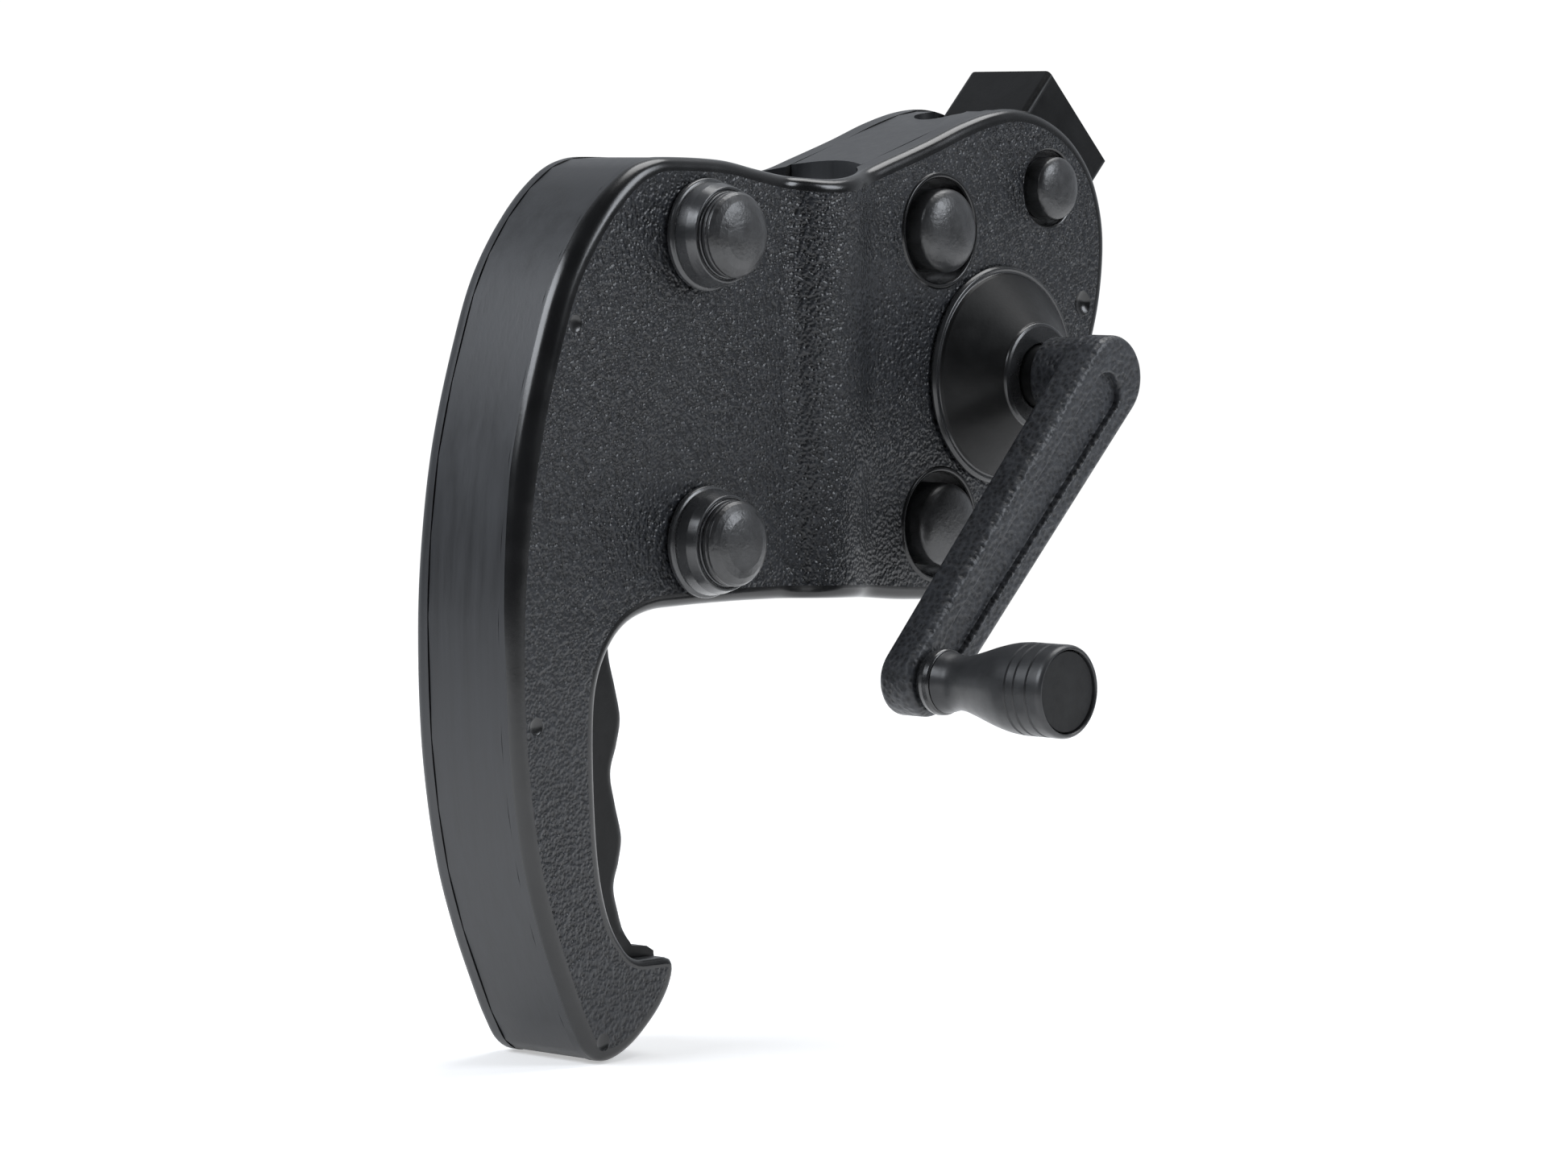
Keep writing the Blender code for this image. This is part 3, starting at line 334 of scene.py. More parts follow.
def settle(target):
    """Replaces an object's mesh with what its modifiers make of it."""
    graph = bpy.context.evaluated_depsgraph_get()
    mesh = bpy.data.meshes.new_from_object(target.evaluated_get(graph))
    target.modifiers.clear()
    target.data = mesh


def boolean(target, others, operation):
    """Applies exact Booleans with the other objects, which are used up."""
    for other in others:
        change = target.modifiers.new("b", "BOOLEAN")
        change.operation = operation
        change.solver = "EXACT"
        change.object = other
        settle(target)
        bpy.data.objects.remove(other, do_unlink=True)


def cut(target, *others):
    """Takes the other bodies out of the target."""
    boolean(target, others, "DIFFERENCE")


def join(target, *others):
    """Makes the other bodies one with the target."""
    boolean(target, others, "UNION")


WELD = 1e-6


def mend(mesh):
    """Closes what the cuts leave open: welds points, drops doubled faces and fills slits."""
    work = bmesh.new()
    work.from_mesh(mesh)
    bmesh.ops.remove_doubles(work, verts=work.verts, dist=WELD)
    bmesh.ops.dissolve_degenerate(work, dist=WELD, edges=work.edges)
    seen, doubled = set(), []
    for polygon in work.faces:
        corners = frozenset(polygon.verts)
        if corners in seen:
            doubled.append(polygon)
        seen.add(corners)
    bmesh.ops.delete(work, geom=doubled, context="FACES")
    slits = [edge for edge in work.edges if len(edge.link_faces) == 1]
    bmesh.ops.holes_fill(work, edges=slits, sides=0)
    work.to_mesh(mesh)
    work.free()


SHARP = math.radians(28.0)


def finish_piece(made, materials, body, nodes):
    """Shades a mesh, gives it its materials and puts it on its body in place of CAD nodes."""
    mesh = made.data
    mend(mesh)
    if len(mesh.materials) != len(materials):
        numbers = [p.material_index for p in mesh.polygons]
        mesh.materials.clear()
        for material in materials:
            mesh.materials.append(material)
        mesh.polygons.foreach_set("material_index", [min(n, len(materials) - 1) for n in numbers])
    mesh.shade_smooth()
    mesh.set_sharp_from_angle(angle=SHARP)
    weighted = made.modifiers.new("weighted_normals", "WEIGHTED_NORMAL")
    weighted.keep_sharp = True
    weighted.weight = 100
    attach(made, body)
    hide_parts(*nodes)
    return made


def ring_faces(rings, count):
    """Quads between rings of count points that follow each other."""
    faces = []
    for ring in range(rings - 1):
        low, high = ring * count, (ring + 1) * count
        for i in range(count):
            j = (i + 1) % count
            faces.append((low + i, low + j, high + j, high + i))
    return faces


def stacked(name, rings):
    """A closed body through rings of the same number of points, closed flat at both ends."""
    count = len(rings[0])
    verts = [p for ring in rings for p in ring]
    faces = ring_faces(len(rings), count)
    faces += [tuple(range(count)), tuple(range(len(verts) - count, len(verts)))]
    return keep(name, verts, faces)


def softened(points, radius, steps=4, closed=False):
    """The line with each corner rounded by about that radius, less where the sides are short."""
    made = []
    last = len(points) - 1
    for i, p in enumerate(points):
        if not closed and i in (0, last):
            made.append(p)
            continue
        a, b = Vector(points[i - 1]), Vector(points[(i + 1) % len(points)])
        p = Vector(p)
        one, two = a - p, b - p
        bend = math.pi - one.angle(two)
        if bend < math.radians(8):
            made.append(tuple(p))
            continue
        reach = min(radius * math.tan(bend / 2), 0.42 * one.length, 0.42 * two.length)
        start, end = p + one.normalized() * reach, p + two.normalized() * reach
        for k in range(steps + 1):
            t = k / steps
            made.append(tuple(start * (1 - t) ** 2 + p * (2 * t * (1 - t)) + end * t ** 2))
    return made


AXES = {"X": (0, 1, 2), "Y": (1, 2, 0), "Z": (2, 0, 1)}


def turned(name, profile, centre, axis="Y", segments=72, ring=False):
    """A turned body from (radius, distance) points; ring closes the profile on itself."""
    along, one, two = AXES[axis]
    line = list(profile)
    if not ring:
        line = [p for p in line if p[0] > 1e-6]
    count = len(line)
    verts = []
    for i in range(segments):
        angle = 2 * math.pi * i / segments
        for radius, distance in line:
            point = [0.0, 0.0, 0.0]
            point[along] = distance
            point[one] = radius * math.cos(angle)
            point[two] = radius * math.sin(angle)
            verts.append([c + p for c, p in zip(centre, point)])
    faces = []
    for i in range(segments):
        a, b = i * count, ((i + 1) % segments) * count
        for k in range(count if ring else count - 1):
            n = (k + 1) % count
            faces.append((a + k, a + n, b + n, b + k))
    if not ring:
        for end, index in ((profile[0], 0), (profile[-1], count - 1)):
            tip = list(centre)
            tip[along] += end[1]
            verts.append(tip)
            for i in range(segments):
                faces.append((i * count + index, ((i + 1) % segments) * count + index, len(verts) - 1))
    return keep(name, verts, faces)


def mirrored(profile, side):
    """A profile that is drawn outward from the rear cover, put on the side that is asked for."""
    return [(r, side * y) for r, y in profile]


def rod(name, radius, start, end, centre, segments=48, axis="Y"):
    """A round bar."""
    profile = ((0.0, start), (radius, start), (radius, end), (0.0, end))
    return turned(name, profile, centre, axis, segments)


def spline(points, steps, closed=True):
    """Points on a Catmull-Rom curve through the given ones."""
    count = len(points)
    made = []
    for i in range(count if closed else count - 1):
        if closed:
            a, b, c, d = (points[(i + k) % count] for k in (-1, 0, 1, 2))
        else:
            a, b, c, d = (points[max(0, min(count - 1, i + k))] for k in (-1, 0, 1, 2))
        for step in range(steps):
            t = step / steps
            made.append(tuple(
                0.5 * (2 * b[k] + (c[k] - a[k]) * t + (2 * a[k] - 5 * b[k] + 4 * c[k] - d[k]) * t * t
                       + (3 * b[k] - a[k] - 3 * c[k] + d[k]) * t ** 3)
                for k in (0, 1)
            ))
    return made if closed else [*made, tuple(points[-1])]


def arc(centre, radius, start, sweep, steps):
    """Points along part of a circle, both ends included."""
    angles = [start + sweep * i / steps for i in range(steps + 1)]
    return [(centre[0] + radius * math.cos(a), centre[1] + radius * math.sin(a)) for a in angles]


def quarter(steps):
    """What a rounded edge still draws in and has already dropped, through its quarter turn."""
    turns = [math.radians(90 * k / steps) for k in range(steps + 1)]
    return [(1 - math.sin(turn), 1 - math.cos(turn)) for turn in turns]


def even(points, spacing):
    """The closed line again, with points about that far apart."""
    ring = [*points, points[0]]
    lengths = [0.0]
    for a, b in zip(ring, ring[1:]):
        lengths.append(lengths[-1] + math.dist(a, b))
    count = round(lengths[-1] / spacing)
    made, k = [], 0
    for i in range(count):
        want = lengths[-1] * i / count
        while lengths[k + 1] < want:
            k += 1
        t = (want - lengths[k]) / max(lengths[k + 1] - lengths[k], 1e-9)
        made.append(tuple(a + (b - a) * t for a, b in zip(ring[k], ring[k + 1])))
    return made


def normals(loop):
    """Inward unit normals of a loop that runs counter-clockwise in X and Z."""
    made = []
    for i in range(len(loop)):
        a, b = loop[i - 1], loop[(i + 1) % len(loop)]
        along = Vector((b[0] - a[0], b[1] - a[1])).normalized()
        made.append((-along.y, along.x))
    return made


def inset(loop, amount, along):
    """The loop moved inward by one amount, or by one for each of its points."""
    amounts = amount if isinstance(amount, list) else [amount] * len(loop)
    return [(p[0] + n[0] * d, p[1] + n[1] * d) for p, n, d in zip(loop, along, amounts)]


def level(loop, y):
    """The loop's points in X and Z, all at one depth."""
    return [(x, y, z) for x, z in loop]


# ---- sizes shared with the CAD frame

LEFT_FACE, RIGHT_FACE = 20.0, 22.0
BULGE_R, LEFT_VALLEY_R, RIGHT_VALLEY_R = 26.1, 14.0, 20.0
COVER_IN, WALL, RIM_R, SHOULDER_RIM_R, HOOK_RIM_R = 14.1, 3.2, 3.2, 5.0, 2.0
CHANNEL_R, CHANNEL_LEFT_X, CHANNEL_HALF = 22.9, -48.6, 16.5
LEFT_BOLTS = [(-55.0, 0.0, z) for z in (44.0, -44.0)]
RIGHT_BOLTS = [(47.0, 0.0, z) for z in (44.0, -44.0)]
PIVOT = (98.5, 0.0, 56.4)
CRANK = (75.4, 0.0, 0.0)
KNOB_AT = (-8.9, 0.0, -84.4)
LEVER_AT = (-85.0, 0.0, -172.0)
POCKET_R, POCKET_FLOOR, PIVOT_FLOOR = 15.8, 16.4, 19.2
SCREWS = [(x, 0.0, z) for x, z in ((-107.9, 19.8), (-124.0, -92.1), (-97.5, -184.0), (115.1, 20.9))]

OUTLINE = (
    (-64.0, 66.1), (-74.5, 65.6), (-84.0, 62.3), (-95.0, 54.2), (-105.0, 43.0), (-113.0, 30.0),
    (-119.6, 13.0), (-125.6, -6.0), (-129.6, -24.0), (-132.3, -48.5), (-132.8, -71.0),
    (-131.2, -102.0), (-126.3, -131.0), (-119.4, -152.5), (-110.6, -172.5), (-106.4, -180.6),
    (-102.6, -186.4), (-97.6, -189.6), (-91.4, -189.6), (-83.2, -186.0), (-74.6, -179.2),
    (-69.8, -173.4), (-67.7, -168.2), (-67.9, -164.6), (-70.0, -162.8), (-76.4, -162.5),
    (-83.0, -161.9), (-88.4, -158.0), (-93.6, -148.6), (-97.4, -134.0), (-99.3, -112.0), (-99.4, -92.0),
    (-97.6, -80.6), (-92.6, -71.6), (-85.6, -65.8), (-76.0, -62.8), (-64.0, -62.2), (-38.0, -62.2),
    (-8.0, -63.0), (12.0, -64.0), (34.0, -66.0), (52.0, -66.2), (64.0, -61.6), (79.0, -50.0),
    (95.0, -34.0), (109.0, -15.0), (119.0, 3.5), (124.8, 20.0), (127.0, 37.0), (125.4, 50.0),
    (120.0, 62.0), (110.6, 71.6), (98.6, 77.8), (86.0, 80.4), (74.0, 79.6), (60.0, 76.2),
    (44.6, 71.1), (27.0, 65.8), (13.0, 61.8), (-2.0, 59.6), (-16.0, 60.4), (-30.0, 62.6),
    (-45.0, 65.2),
)

# ---- covers

OUT = even(spline(OUTLINE, 12), 1.7)
OUT_NORMALS = normals(OUT)


def face(x):
    """How far a cover's outer face stands from the mid-plane at x."""
    left_x = -math.sqrt((BULGE_R + LEFT_VALLEY_R) ** 2 - (LEFT_FACE + LEFT_VALLEY_R) ** 2)
    right_x = math.sqrt((BULGE_R + RIGHT_VALLEY_R) ** 2 - (RIGHT_FACE + RIGHT_VALLEY_R) ** 2)
    if x <= left_x:
        return LEFT_FACE
    if x >= right_x:
        return RIGHT_FACE
    if x < left_x * BULGE_R / (BULGE_R + LEFT_VALLEY_R):
        return LEFT_FACE + LEFT_VALLEY_R - math.sqrt(LEFT_VALLEY_R ** 2 - (x - left_x) ** 2)
    if x > right_x * BULGE_R / (BULGE_R + RIGHT_VALLEY_R):
        return RIGHT_FACE + RIGHT_VALLEY_R - math.sqrt(RIGHT_VALLEY_R ** 2 - (x - right_x) ** 2)
    return math.sqrt(BULGE_R ** 2 - x * x)


def full_rim(x, z):
    """The rim's radius where the outline is gentle, which is full at the handle's shoulder."""
    if x > -89.0 and -165.5 < z < -155.0:
        return HOOK_RIM_R
    outward = min(1.0, max(0.0, (-70.0 - x) / 30.0))
    upward = min(1.0, max(0.0, (z + 80.0) / 60.0))
    return RIM_R + (SHOULDER_RIM_R - RIM_R) * outward * upward


def rim_radii():
    """The rim's radius along the outline, smaller at sharp outward turns and along the hook's top."""
    radii = []
    count = len(OUT)
    for i in range(count):
        a, p, b = (Vector(OUT[(i + k) % count]) for k in (-2, 0, 2))
        turn = -(p - a).angle_signed(b - p, 0.0)
        local = 0.62 * (p - a).length / turn if turn > 0.04 else SHOULDER_RIM_R
        radii.append(min(full_rim(p.x, p.y), local))
    for _ in range(40):
        between = [0.5 * (radii[i - 1] + radii[(i + 1) % count]) for i in range(count)]
        radii = [min(r, b + 0.02) for r, b in zip(radii, between)]
    return radii


RIM = rim_radii()
GRAIN_EDGE = 0.7
RIM_SLOT, GRAIN_SLOT, INSIDE_SLOT, SIDE_SLOT = range(4)

# The grid over the mast's bulge: first column, step, columns, height of a row, room to the edge.
BULGE_FROM, BULGE_STEP, BULGE_COLUMNS, BULGE_ROW, EDGE_ROOM = -21.5, 1.3, 33, 4.0, 1.6


def skin_triangles(loop):
    """Points and triangles that fill the loop and the bulge's grid, and each point's old number."""
    count = len(loop)
    points = [Vector(p) for p in loop]
    edges = [(i, (i + 1) % count) for i in range(count)]
    for step in range(BULGE_COLUMNS):
        x = BULGE_FROM + step * BULGE_STEP
        inside = [p[1] for p in loop if abs(p[0] - x) < 2.0]
        top, bottom = max(inside) - EDGE_ROOM, min(inside) + EDGE_ROOM
        rows = round((top - bottom) / BULGE_ROW)
        points += [Vector((x, bottom + (top - bottom) * k / rows)) for k in range(rows + 1)]
    result = delaunay_2d_cdt(points, edges, [list(range(count))], 1, 1e-7)
    return [tuple(p) for p in result[0]], result[2], [sources[0] for sources in result[3]]


def cover_body(name, side):
    """The solid skin of a cover: a quarter-round rim, then the face, grained inside the rim."""
    count = len(OUT)
    loops = [level(OUT, side * COVER_IN)]
    for drop, shrink in quarter(10):
        loop = inset(OUT, [r * shrink for r in RIM], OUT_NORMALS)
        loops.append([(x, side * (face(x) - r * drop), z) for (x, z), r in zip(loop, RIM)])
    inner = inset(OUT, [r + GRAIN_EDGE for r in RIM], OUT_NORMALS)
    verts = [p for loop in loops for p in loop]
    faces = ring_faces(len(loops), count)
    faces.append(tuple(range(count)))
    indices = [SIDE_SLOT] * count + [RIM_SLOT] * (len(faces) - 1 - count) + [INSIDE_SLOT]
    points, triangles, sources = skin_triangles(inner)
    top = (len(loops) - 1) * count
    start = len(verts)
    verts += [(x, side * face(x), z) for x, z in points]
    place = {source: start + index for index, source in enumerate(sources) if source < count}
    for i in range(count):
        j = (i + 1) % count
        faces.append((top + i, top + j, place[j], place[i]))
    faces += [tuple(start + i for i in triangle) for triangle in triangles]
    indices += [RIM_SLOT] * count + [GRAIN_SLOT] * len(triangles)
    return keep(name, verts, faces, indices)


def channel():
    """The room that the mast needs between the two covers."""
    turn = math.asin(CHANNEL_HALF / CHANNEL_R)
    round_part = arc((0.0, 0.0), CHANNEL_R, -math.pi + turn, 2 * math.pi - 2 * turn, 60)
    loop = [(CHANNEL_LEFT_X, -CHANNEL_HALF), *round_part, (CHANNEL_LEFT_X, CHANNEL_HALF)]
    return stacked("channel", [[(x, y, z) for x, y in loop] for z in (-100.0, 110.0)])


def arm_slot(half):
    """The room that the strut's socket sweeps, from upright to its lowest angle."""
    reach, down = 20.6, math.radians(12.0)
    loop = arc((PIVOT[0], PIVOT[2]), reach, -math.pi, down + math.pi / 2, 40)
    loop.append((loop[-1][0] + 80 * math.cos(down), loop[-1][1] + 80 * math.sin(down)))
    loop += [(loop[-1][0], 140.0), (PIVOT[0] - reach, 140.0)]
    return stacked("arm_slot", [level(loop, y) for y in (-half, half)])


def pocket(name, place, side, radius, floor, surface, lip):
    """A cutter for a round pocket whose mouth is rounded by lip."""
    line = [(0.0, floor), (radius, floor), (radius, surface - lip)]
    for k in range(1, 7):
        turn = math.radians(13.5 * k)
        line.append((radius + lip * (1 - math.cos(turn)), surface - lip + lip * math.sin(turn)))
    line += [(line[-1][0] + 0.02, surface + 4.0), (0.0, surface + 4.0)]
    return turned(name, mirrored(line, side), place)


def lip(name, place, side, radius, surface):
    """A low rounded bead that stands round a pocket's mouth."""
    line = [
        (radius + 0.2, surface - 1.2), (radius + 0.1, surface + 0.1), (radius + 0.6, surface + 0.5),
        (radius + 1.3, surface + 0.45), (radius + 1.9, surface - 0.1), (radius + 1.9, surface - 1.2),
    ]
    return turned(name, mirrored(softened(line, 0.5, 4, closed=True), side), place, ring=True)


def dimple(name, place, side, surface, radius, depth):
    """A shallow round moulding mark, a bowl with soft sides."""
    bowl = ((0.0, 1.0), (0.3, 0.94), (0.58, 0.72), (0.82, 0.32))
    line = [(radius * out, surface - depth * down) for out, down in bowl]
    line += [(radius, surface + 0.1), (radius, surface + 0.3), (0.0, surface + 0.4)]
    return turned(name, mirrored(line, side), place, segments=40)


def hollow(side):
    """The room inside a cover, a wall's thickness within its skin."""
    loop = inset(OUT, WALL, OUT_NORMALS)
    count = len(loop)
    points, triangles, sources = skin_triangles(loop)
    verts = level(loop, side * 5.0) + [(x, side * (face(x) - WALL), z) for x, z in points]
    place = {source: count + index for index, source in enumerate(sources) if source < count}
    faces = [tuple(range(count))]
    faces += [(i, (i + 1) % count, place[(i + 1) % count], place[i]) for i in range(count)]
    faces += [tuple(count + i for i in triangle) for triangle in triangles]
    return keep("hollow", verts, faces)


LEFT_POST_R, RIGHT_POST_R, PIVOT_POST_R, SCREW_POST_R, BUSH_BOSS_R = 8.5, 18.2, 16.0, 4.2, 11.5
BOLT_HOLE_R, PIN_HOLE_R, SCREW_HOLE_R, SLEEVE_HOLE_R, BUSH_BORE_R = 3.3, 5.3, 1.8, 19.8, 8.3
PIVOT_POCKET_R, SCREW_SEAT_R, SLOT_HALF = 11.5, 3.9, 17.0


def cover(name, side, node):
    """A cover with its posts, pockets and holes, the mast's channel and the strut's slot."""
    body = cover_body(name, side)
    inner = LEFT_FACE - WALL + 0.6
    cut(body, hollow(side))

    def posts(radius, start, end, places, segments=40):
        """A round bar at each place, on this cover's side."""
        return [rod("post", radius, side * start, side * end, place, segments) for place in places]

    join(body, *posts(LEFT_POST_R, COVER_IN, inner, LEFT_BOLTS))
    join(body, *posts(RIGHT_POST_R, COVER_IN, 20.5, RIGHT_BOLTS))
    join(body, *posts(PIVOT_POST_R, 17.0, 20.0, [PIVOT]))
    join(body, *posts(SCREW_POST_R, COVER_IN, inner, SCREWS[:3], 24))
    join(body, *posts(SCREW_POST_R, COVER_IN, 19.4, SCREWS[3:], 24))
    if side > 0:
        join(body, rod("bush_boss", BUSH_BOSS_R, 15.0, 20.0, CRANK))
    cut(body, channel(), arm_slot(SLOT_HALF))
    for place in RIGHT_BOLTS:
        cut(body, pocket("pocket", place, side, POCKET_R, POCKET_FLOOR, RIGHT_FACE, 0.3))
        join(body, lip("pocket_lip", place, side, POCKET_R, RIGHT_FACE))
    cut(body, pocket("pivot_pocket", PIVOT, side, PIVOT_POCKET_R, PIVOT_FLOOR, RIGHT_FACE, 0.9))
    cut(body, *posts(BOLT_HOLE_R, 10, 30, LEFT_BOLTS + RIGHT_BOLTS, 24))
    cut(body, *posts(PIN_HOLE_R, 10, 30, [PIVOT], 32))
    if side < 0:
        cut(body, rod("sleeve_hole", SLEEVE_HOLE_R, -10, -30, CRANK, 64))
        cut(body, *(rod("screw_hole", SCREW_HOLE_R, -10, -17.2, place, 20) for place in SCREWS))
        for place in SCREWS[:3]:
            cut(body, dimple("dimple", place, side, LEFT_FACE, 2.8, 0.4))
        cut(body, dimple("dimple", SCREWS[3], side, RIGHT_FACE, 3.9, 1.3))
    else:
        cut(body, rod("bush_bore", BUSH_BORE_R, 10.0, 20.4, CRANK))
        for place in SCREWS:
            cut(body, rod("screw_hole", SCREW_HOLE_R, 10, 30, place, 20))
            cut(body, pocket("screw_seat", place, side, SCREW_SEAT_R, 18.3, face(place[0]), 0.5))
    rim = RIM_PLASTIC if side < 0 else BAND
    return finish_piece(body, [rim, LEATHER, INSIDE, BAND], "slider", [node])


cover("front_cover_shell", -1, "front_cover")
cover("rear_cover_shell", 1, "rear_cover")

# ---- caps, collars and the pivot


def collar_line(base):
    """A stepped collar round a left bolt's head, with a bead at its foot and two turned grooves."""
    line = [
        (3.3, base), (16.2, base), (16.2, base + 1.7), (15.0, base + 2.2), (15.4, base + 2.9),
        (14.8, base + 6.2), (13.7, base + 9.2), (12.9, base + 9.2), (12.9, base + 8.7),
        (12.5, base + 8.7), (12.5, base + 9.7), (8.5, base + 9.7), (8.5, base + 2.0), (3.3, base + 2.0),
    ]
    return softened(line, 0.8, 5, closed=True)


def dome_line(seat, skirt):
    """A domed cap: short sides with a ring groove, a rounded shoulder and a shallow crown."""
    top = [
        (8.2, seat), (12.3, seat), (12.3, seat + 1.3), (11.9, seat + 1.55), (11.9, seat + 1.85),
        (12.3, seat + 2.1), (12.3, seat + 2.7), (11.5, seat + 3.7), (9.8, seat + 4.8), (7.4, seat + 5.7),
        (4.6, seat + 6.25), (2.0, seat + 6.46),
    ]
    return [*skirt, *softened(top, 1.2, 5), (0.0, seat + 6.5)]


def button_line(seat, outer, inner, straight, rise):
    """A round cap over a bolt or pin head: straight sides, then a full dome."""
    line = [(0.0, seat + straight - 1.0), (inner, seat + straight - 1.4), (inner, seat), (outer, seat)]
    for k in range(15):
        turn = math.radians(90 * k / 15)
        line.append((outer * math.cos(turn) ** 0.8, seat + straight + rise * math.sin(turn)))
    return [*line, (0.0, seat + straight + rise)]


def cap(name, node, place, line, look=CAP, ring=False):
    """A turned cap or collar in place of one CAD node."""
    piece = turned(name, line, place, ring=ring)
    finish_piece(piece, [look], "slider", [node])


def left_caps(label, place):
    """A left bolt's collar and domed cap in front, and its stepped cap behind."""
    base = LEFT_FACE + GAP
    seat = base + 10.0
    line = mirrored(collar_line(base), -1)
    cap(f"collar_{label}", f"bolt_collar_{label}", place, line, COLLAR, ring=True)
    skirt = [(0.0, seat + 3.4), (6.9, seat + 3.2), (6.9, seat - 2.8), (8.2, seat - 2.8)]
    line = mirrored(dome_line(seat, skirt), -1)
    cap(f"left_cap_{label}", f"left_cap_front_{label}", place, line)
    bore = [(0.0, seat + 3.2), (8.2, seat + 2.8)]
    barrel = [(8.2, base), (16.2, base), (16.2, base + 1.7), (15.1, base + 2.3), (15.1, base + 7.2)]
    collar = softened([*barrel, (13.6, base + 9.4), (12.3, seat)], 0.8, 5)
    line = [*bore, *collar[:-1], *dome_line(seat, [])[5:]]
    cap(f"left_rear_cap_{label}", f"left_cap_rear_{label}", place, line)


FACES = (("front", -1), ("rear", 1))
for label, place in zip(("upper", "lower"), LEFT_BOLTS):
    left_caps(label, place)
for label, place in zip(("upper", "lower"), RIGHT_BOLTS):
    line = button_line(POCKET_FLOOR + GAP, 12.5, 7.2, 7.8, 4.2)
    for tag, side in FACES:
        cap(f"right_dome_{tag}_{label}", f"right_cap_{tag}_{label}", place, mirrored(line, side))
for tag, side in FACES:
    line = button_line(PIVOT_FLOOR + GAP, 9.5, 7.7, 5.6, 2.6)
    cap(f"pivot_dome_{tag}", f"pivot_cap_{tag}", PIVOT, mirrored(line, side))

# ---- the strut's socket

ARM_TURN = Matrix.Translation(Vector(PIVOT) * MM) @ Matrix.Rotation(math.radians(-45.0), 4, "Y")
SOCKET_T, SOCKET_Y, SOCKET_LENGTH = 19.8, 16.6, 31.0
SOCKET_SCREW = (22.0, 0.0, 0.0)


def on_strut(made):
    """Turns a body made round the origin into the strut's place on its pivot."""
    made.data.transform(ARM_TURN)
    return made


def block(name, low, high):
    """A plain box, for cutting."""
    verts = [(x, y, z) for x in (low[0], high[0]) for y in (low[1], high[1]) for z in (low[2], high[2])]
    faces = ((0, 1, 3, 2), (4, 6, 7, 5), (0, 4, 5, 1), (2, 3, 7, 6), (0, 2, 6, 4), (1, 5, 7, 3))
    return keep(name, verts, faces)


def socket():
    """The strut's sleeve: a rounded fork root round the pivot, a squared mouth with a rolled lip."""
    radius, steps = 2.4, 5
    rings = [(-SOCKET_Y + radius * drop, radius * shrink) for shrink, drop in quarter(steps)]
    rings += [(-y, shrink) for y, shrink in reversed(rings)]

    def outline(shrink):
        """The sleeve seen from the front, with its edges drawn in by shrink."""
        half = SOCKET_T - shrink
        mouth = SOCKET_LENGTH - 0.5 * shrink
        return [(mouth, half), *arc((0.0, 0.0), half, math.pi / 2, math.pi, 40), (mouth, -half)]

    body = on_strut(stacked("strut_socket", [level(outline(shrink), y) for y, shrink in rings]))
    cutters = (
        block("pocket", (11.0, -14.15, -16.9), (60.0, 14.15, 16.9)),
        rod("bore", 7.1, -30, 30, (0.0, 0.0, 0.0)),
        rod("screw_seat", 3.7, -24.0, -18.2, SOCKET_SCREW, 32, "Z"),
        rod("screw_way", 2.0, -24.0, -14.0, SOCKET_SCREW, 24, "Z"),
    )
    for cutter in cutters:
        cut(body, on_strut(cutter))
    change = body.modifiers.new("edges", "BEVEL")
    change.width = 0.45 * MM
    change.segments = 2
    change.limit_method = "ANGLE"
    change.angle_limit = math.radians(60)
    settle(body)
    return finish_piece(body, [GRIP], "strut_arm", ["arm_socket"])


socket()

# ---- crank and knob


def housing():
    """The crank's cone, whose lip and front edge are glossier and also painted lighter, a painted
    highlight.
    """
    base, front = RIGHT_FACE + GAP, 38.0
    line = [
        (27.2, base), (33.0, base), (33.3, base + 0.9), (32.3, base + 2.0), (31.2, base + 1.5),
        (30.4, base + 2.6), (16.3, front - 1.2), (16.0, front - 0.3), (15.0, front), (9.8, front),
        (9.8, 34.6), (15.0, 34.6), (25.0, base + 4.8), (27.2, base + 3.8),
    ]
    line = mirrored(softened(line, 0.8, 5, closed=True), -1)
    piece = turned("crank_cone", line, CRANK, segments=96, ring=True)
    # The lip and front edge take the lighter bead plastic: a painted highlight along with real gloss.
    for polygon in piece.data.polygons:
        if polygon.center.y > -(base + 1.9) * MM or polygon.center.y < -(front - 1.1) * MM:
            polygon.material_index = 1
    finish_piece(piece, [HOUSING, BEAD], "slider", ["crank_housing"])


housing()

RUN = Vector((KNOB_AT[0] - CRANK[0], KNOB_AT[2] - CRANK[2]))
HEADING = math.atan2(RUN.y, RUN.x)


def stadium(near, near_r, far, far_r, steps=36):
    """Two round ends of unlike radius and the tangents between them, along the crank's arm."""
    lean = math.acos((near_r - far_r) / (far - near))
    points = []
    for spot, radius, start, sweep in (
        (near, near_r, HEADING + lean, 2 * math.pi - 2 * lean),
        (far, far_r, HEADING - lean, 2 * lean),
    ):
        end = Vector((CRANK[0], CRANK[2])) + RUN.normalized() * spot
        points += arc(end, radius, start, sweep, steps)
    return points


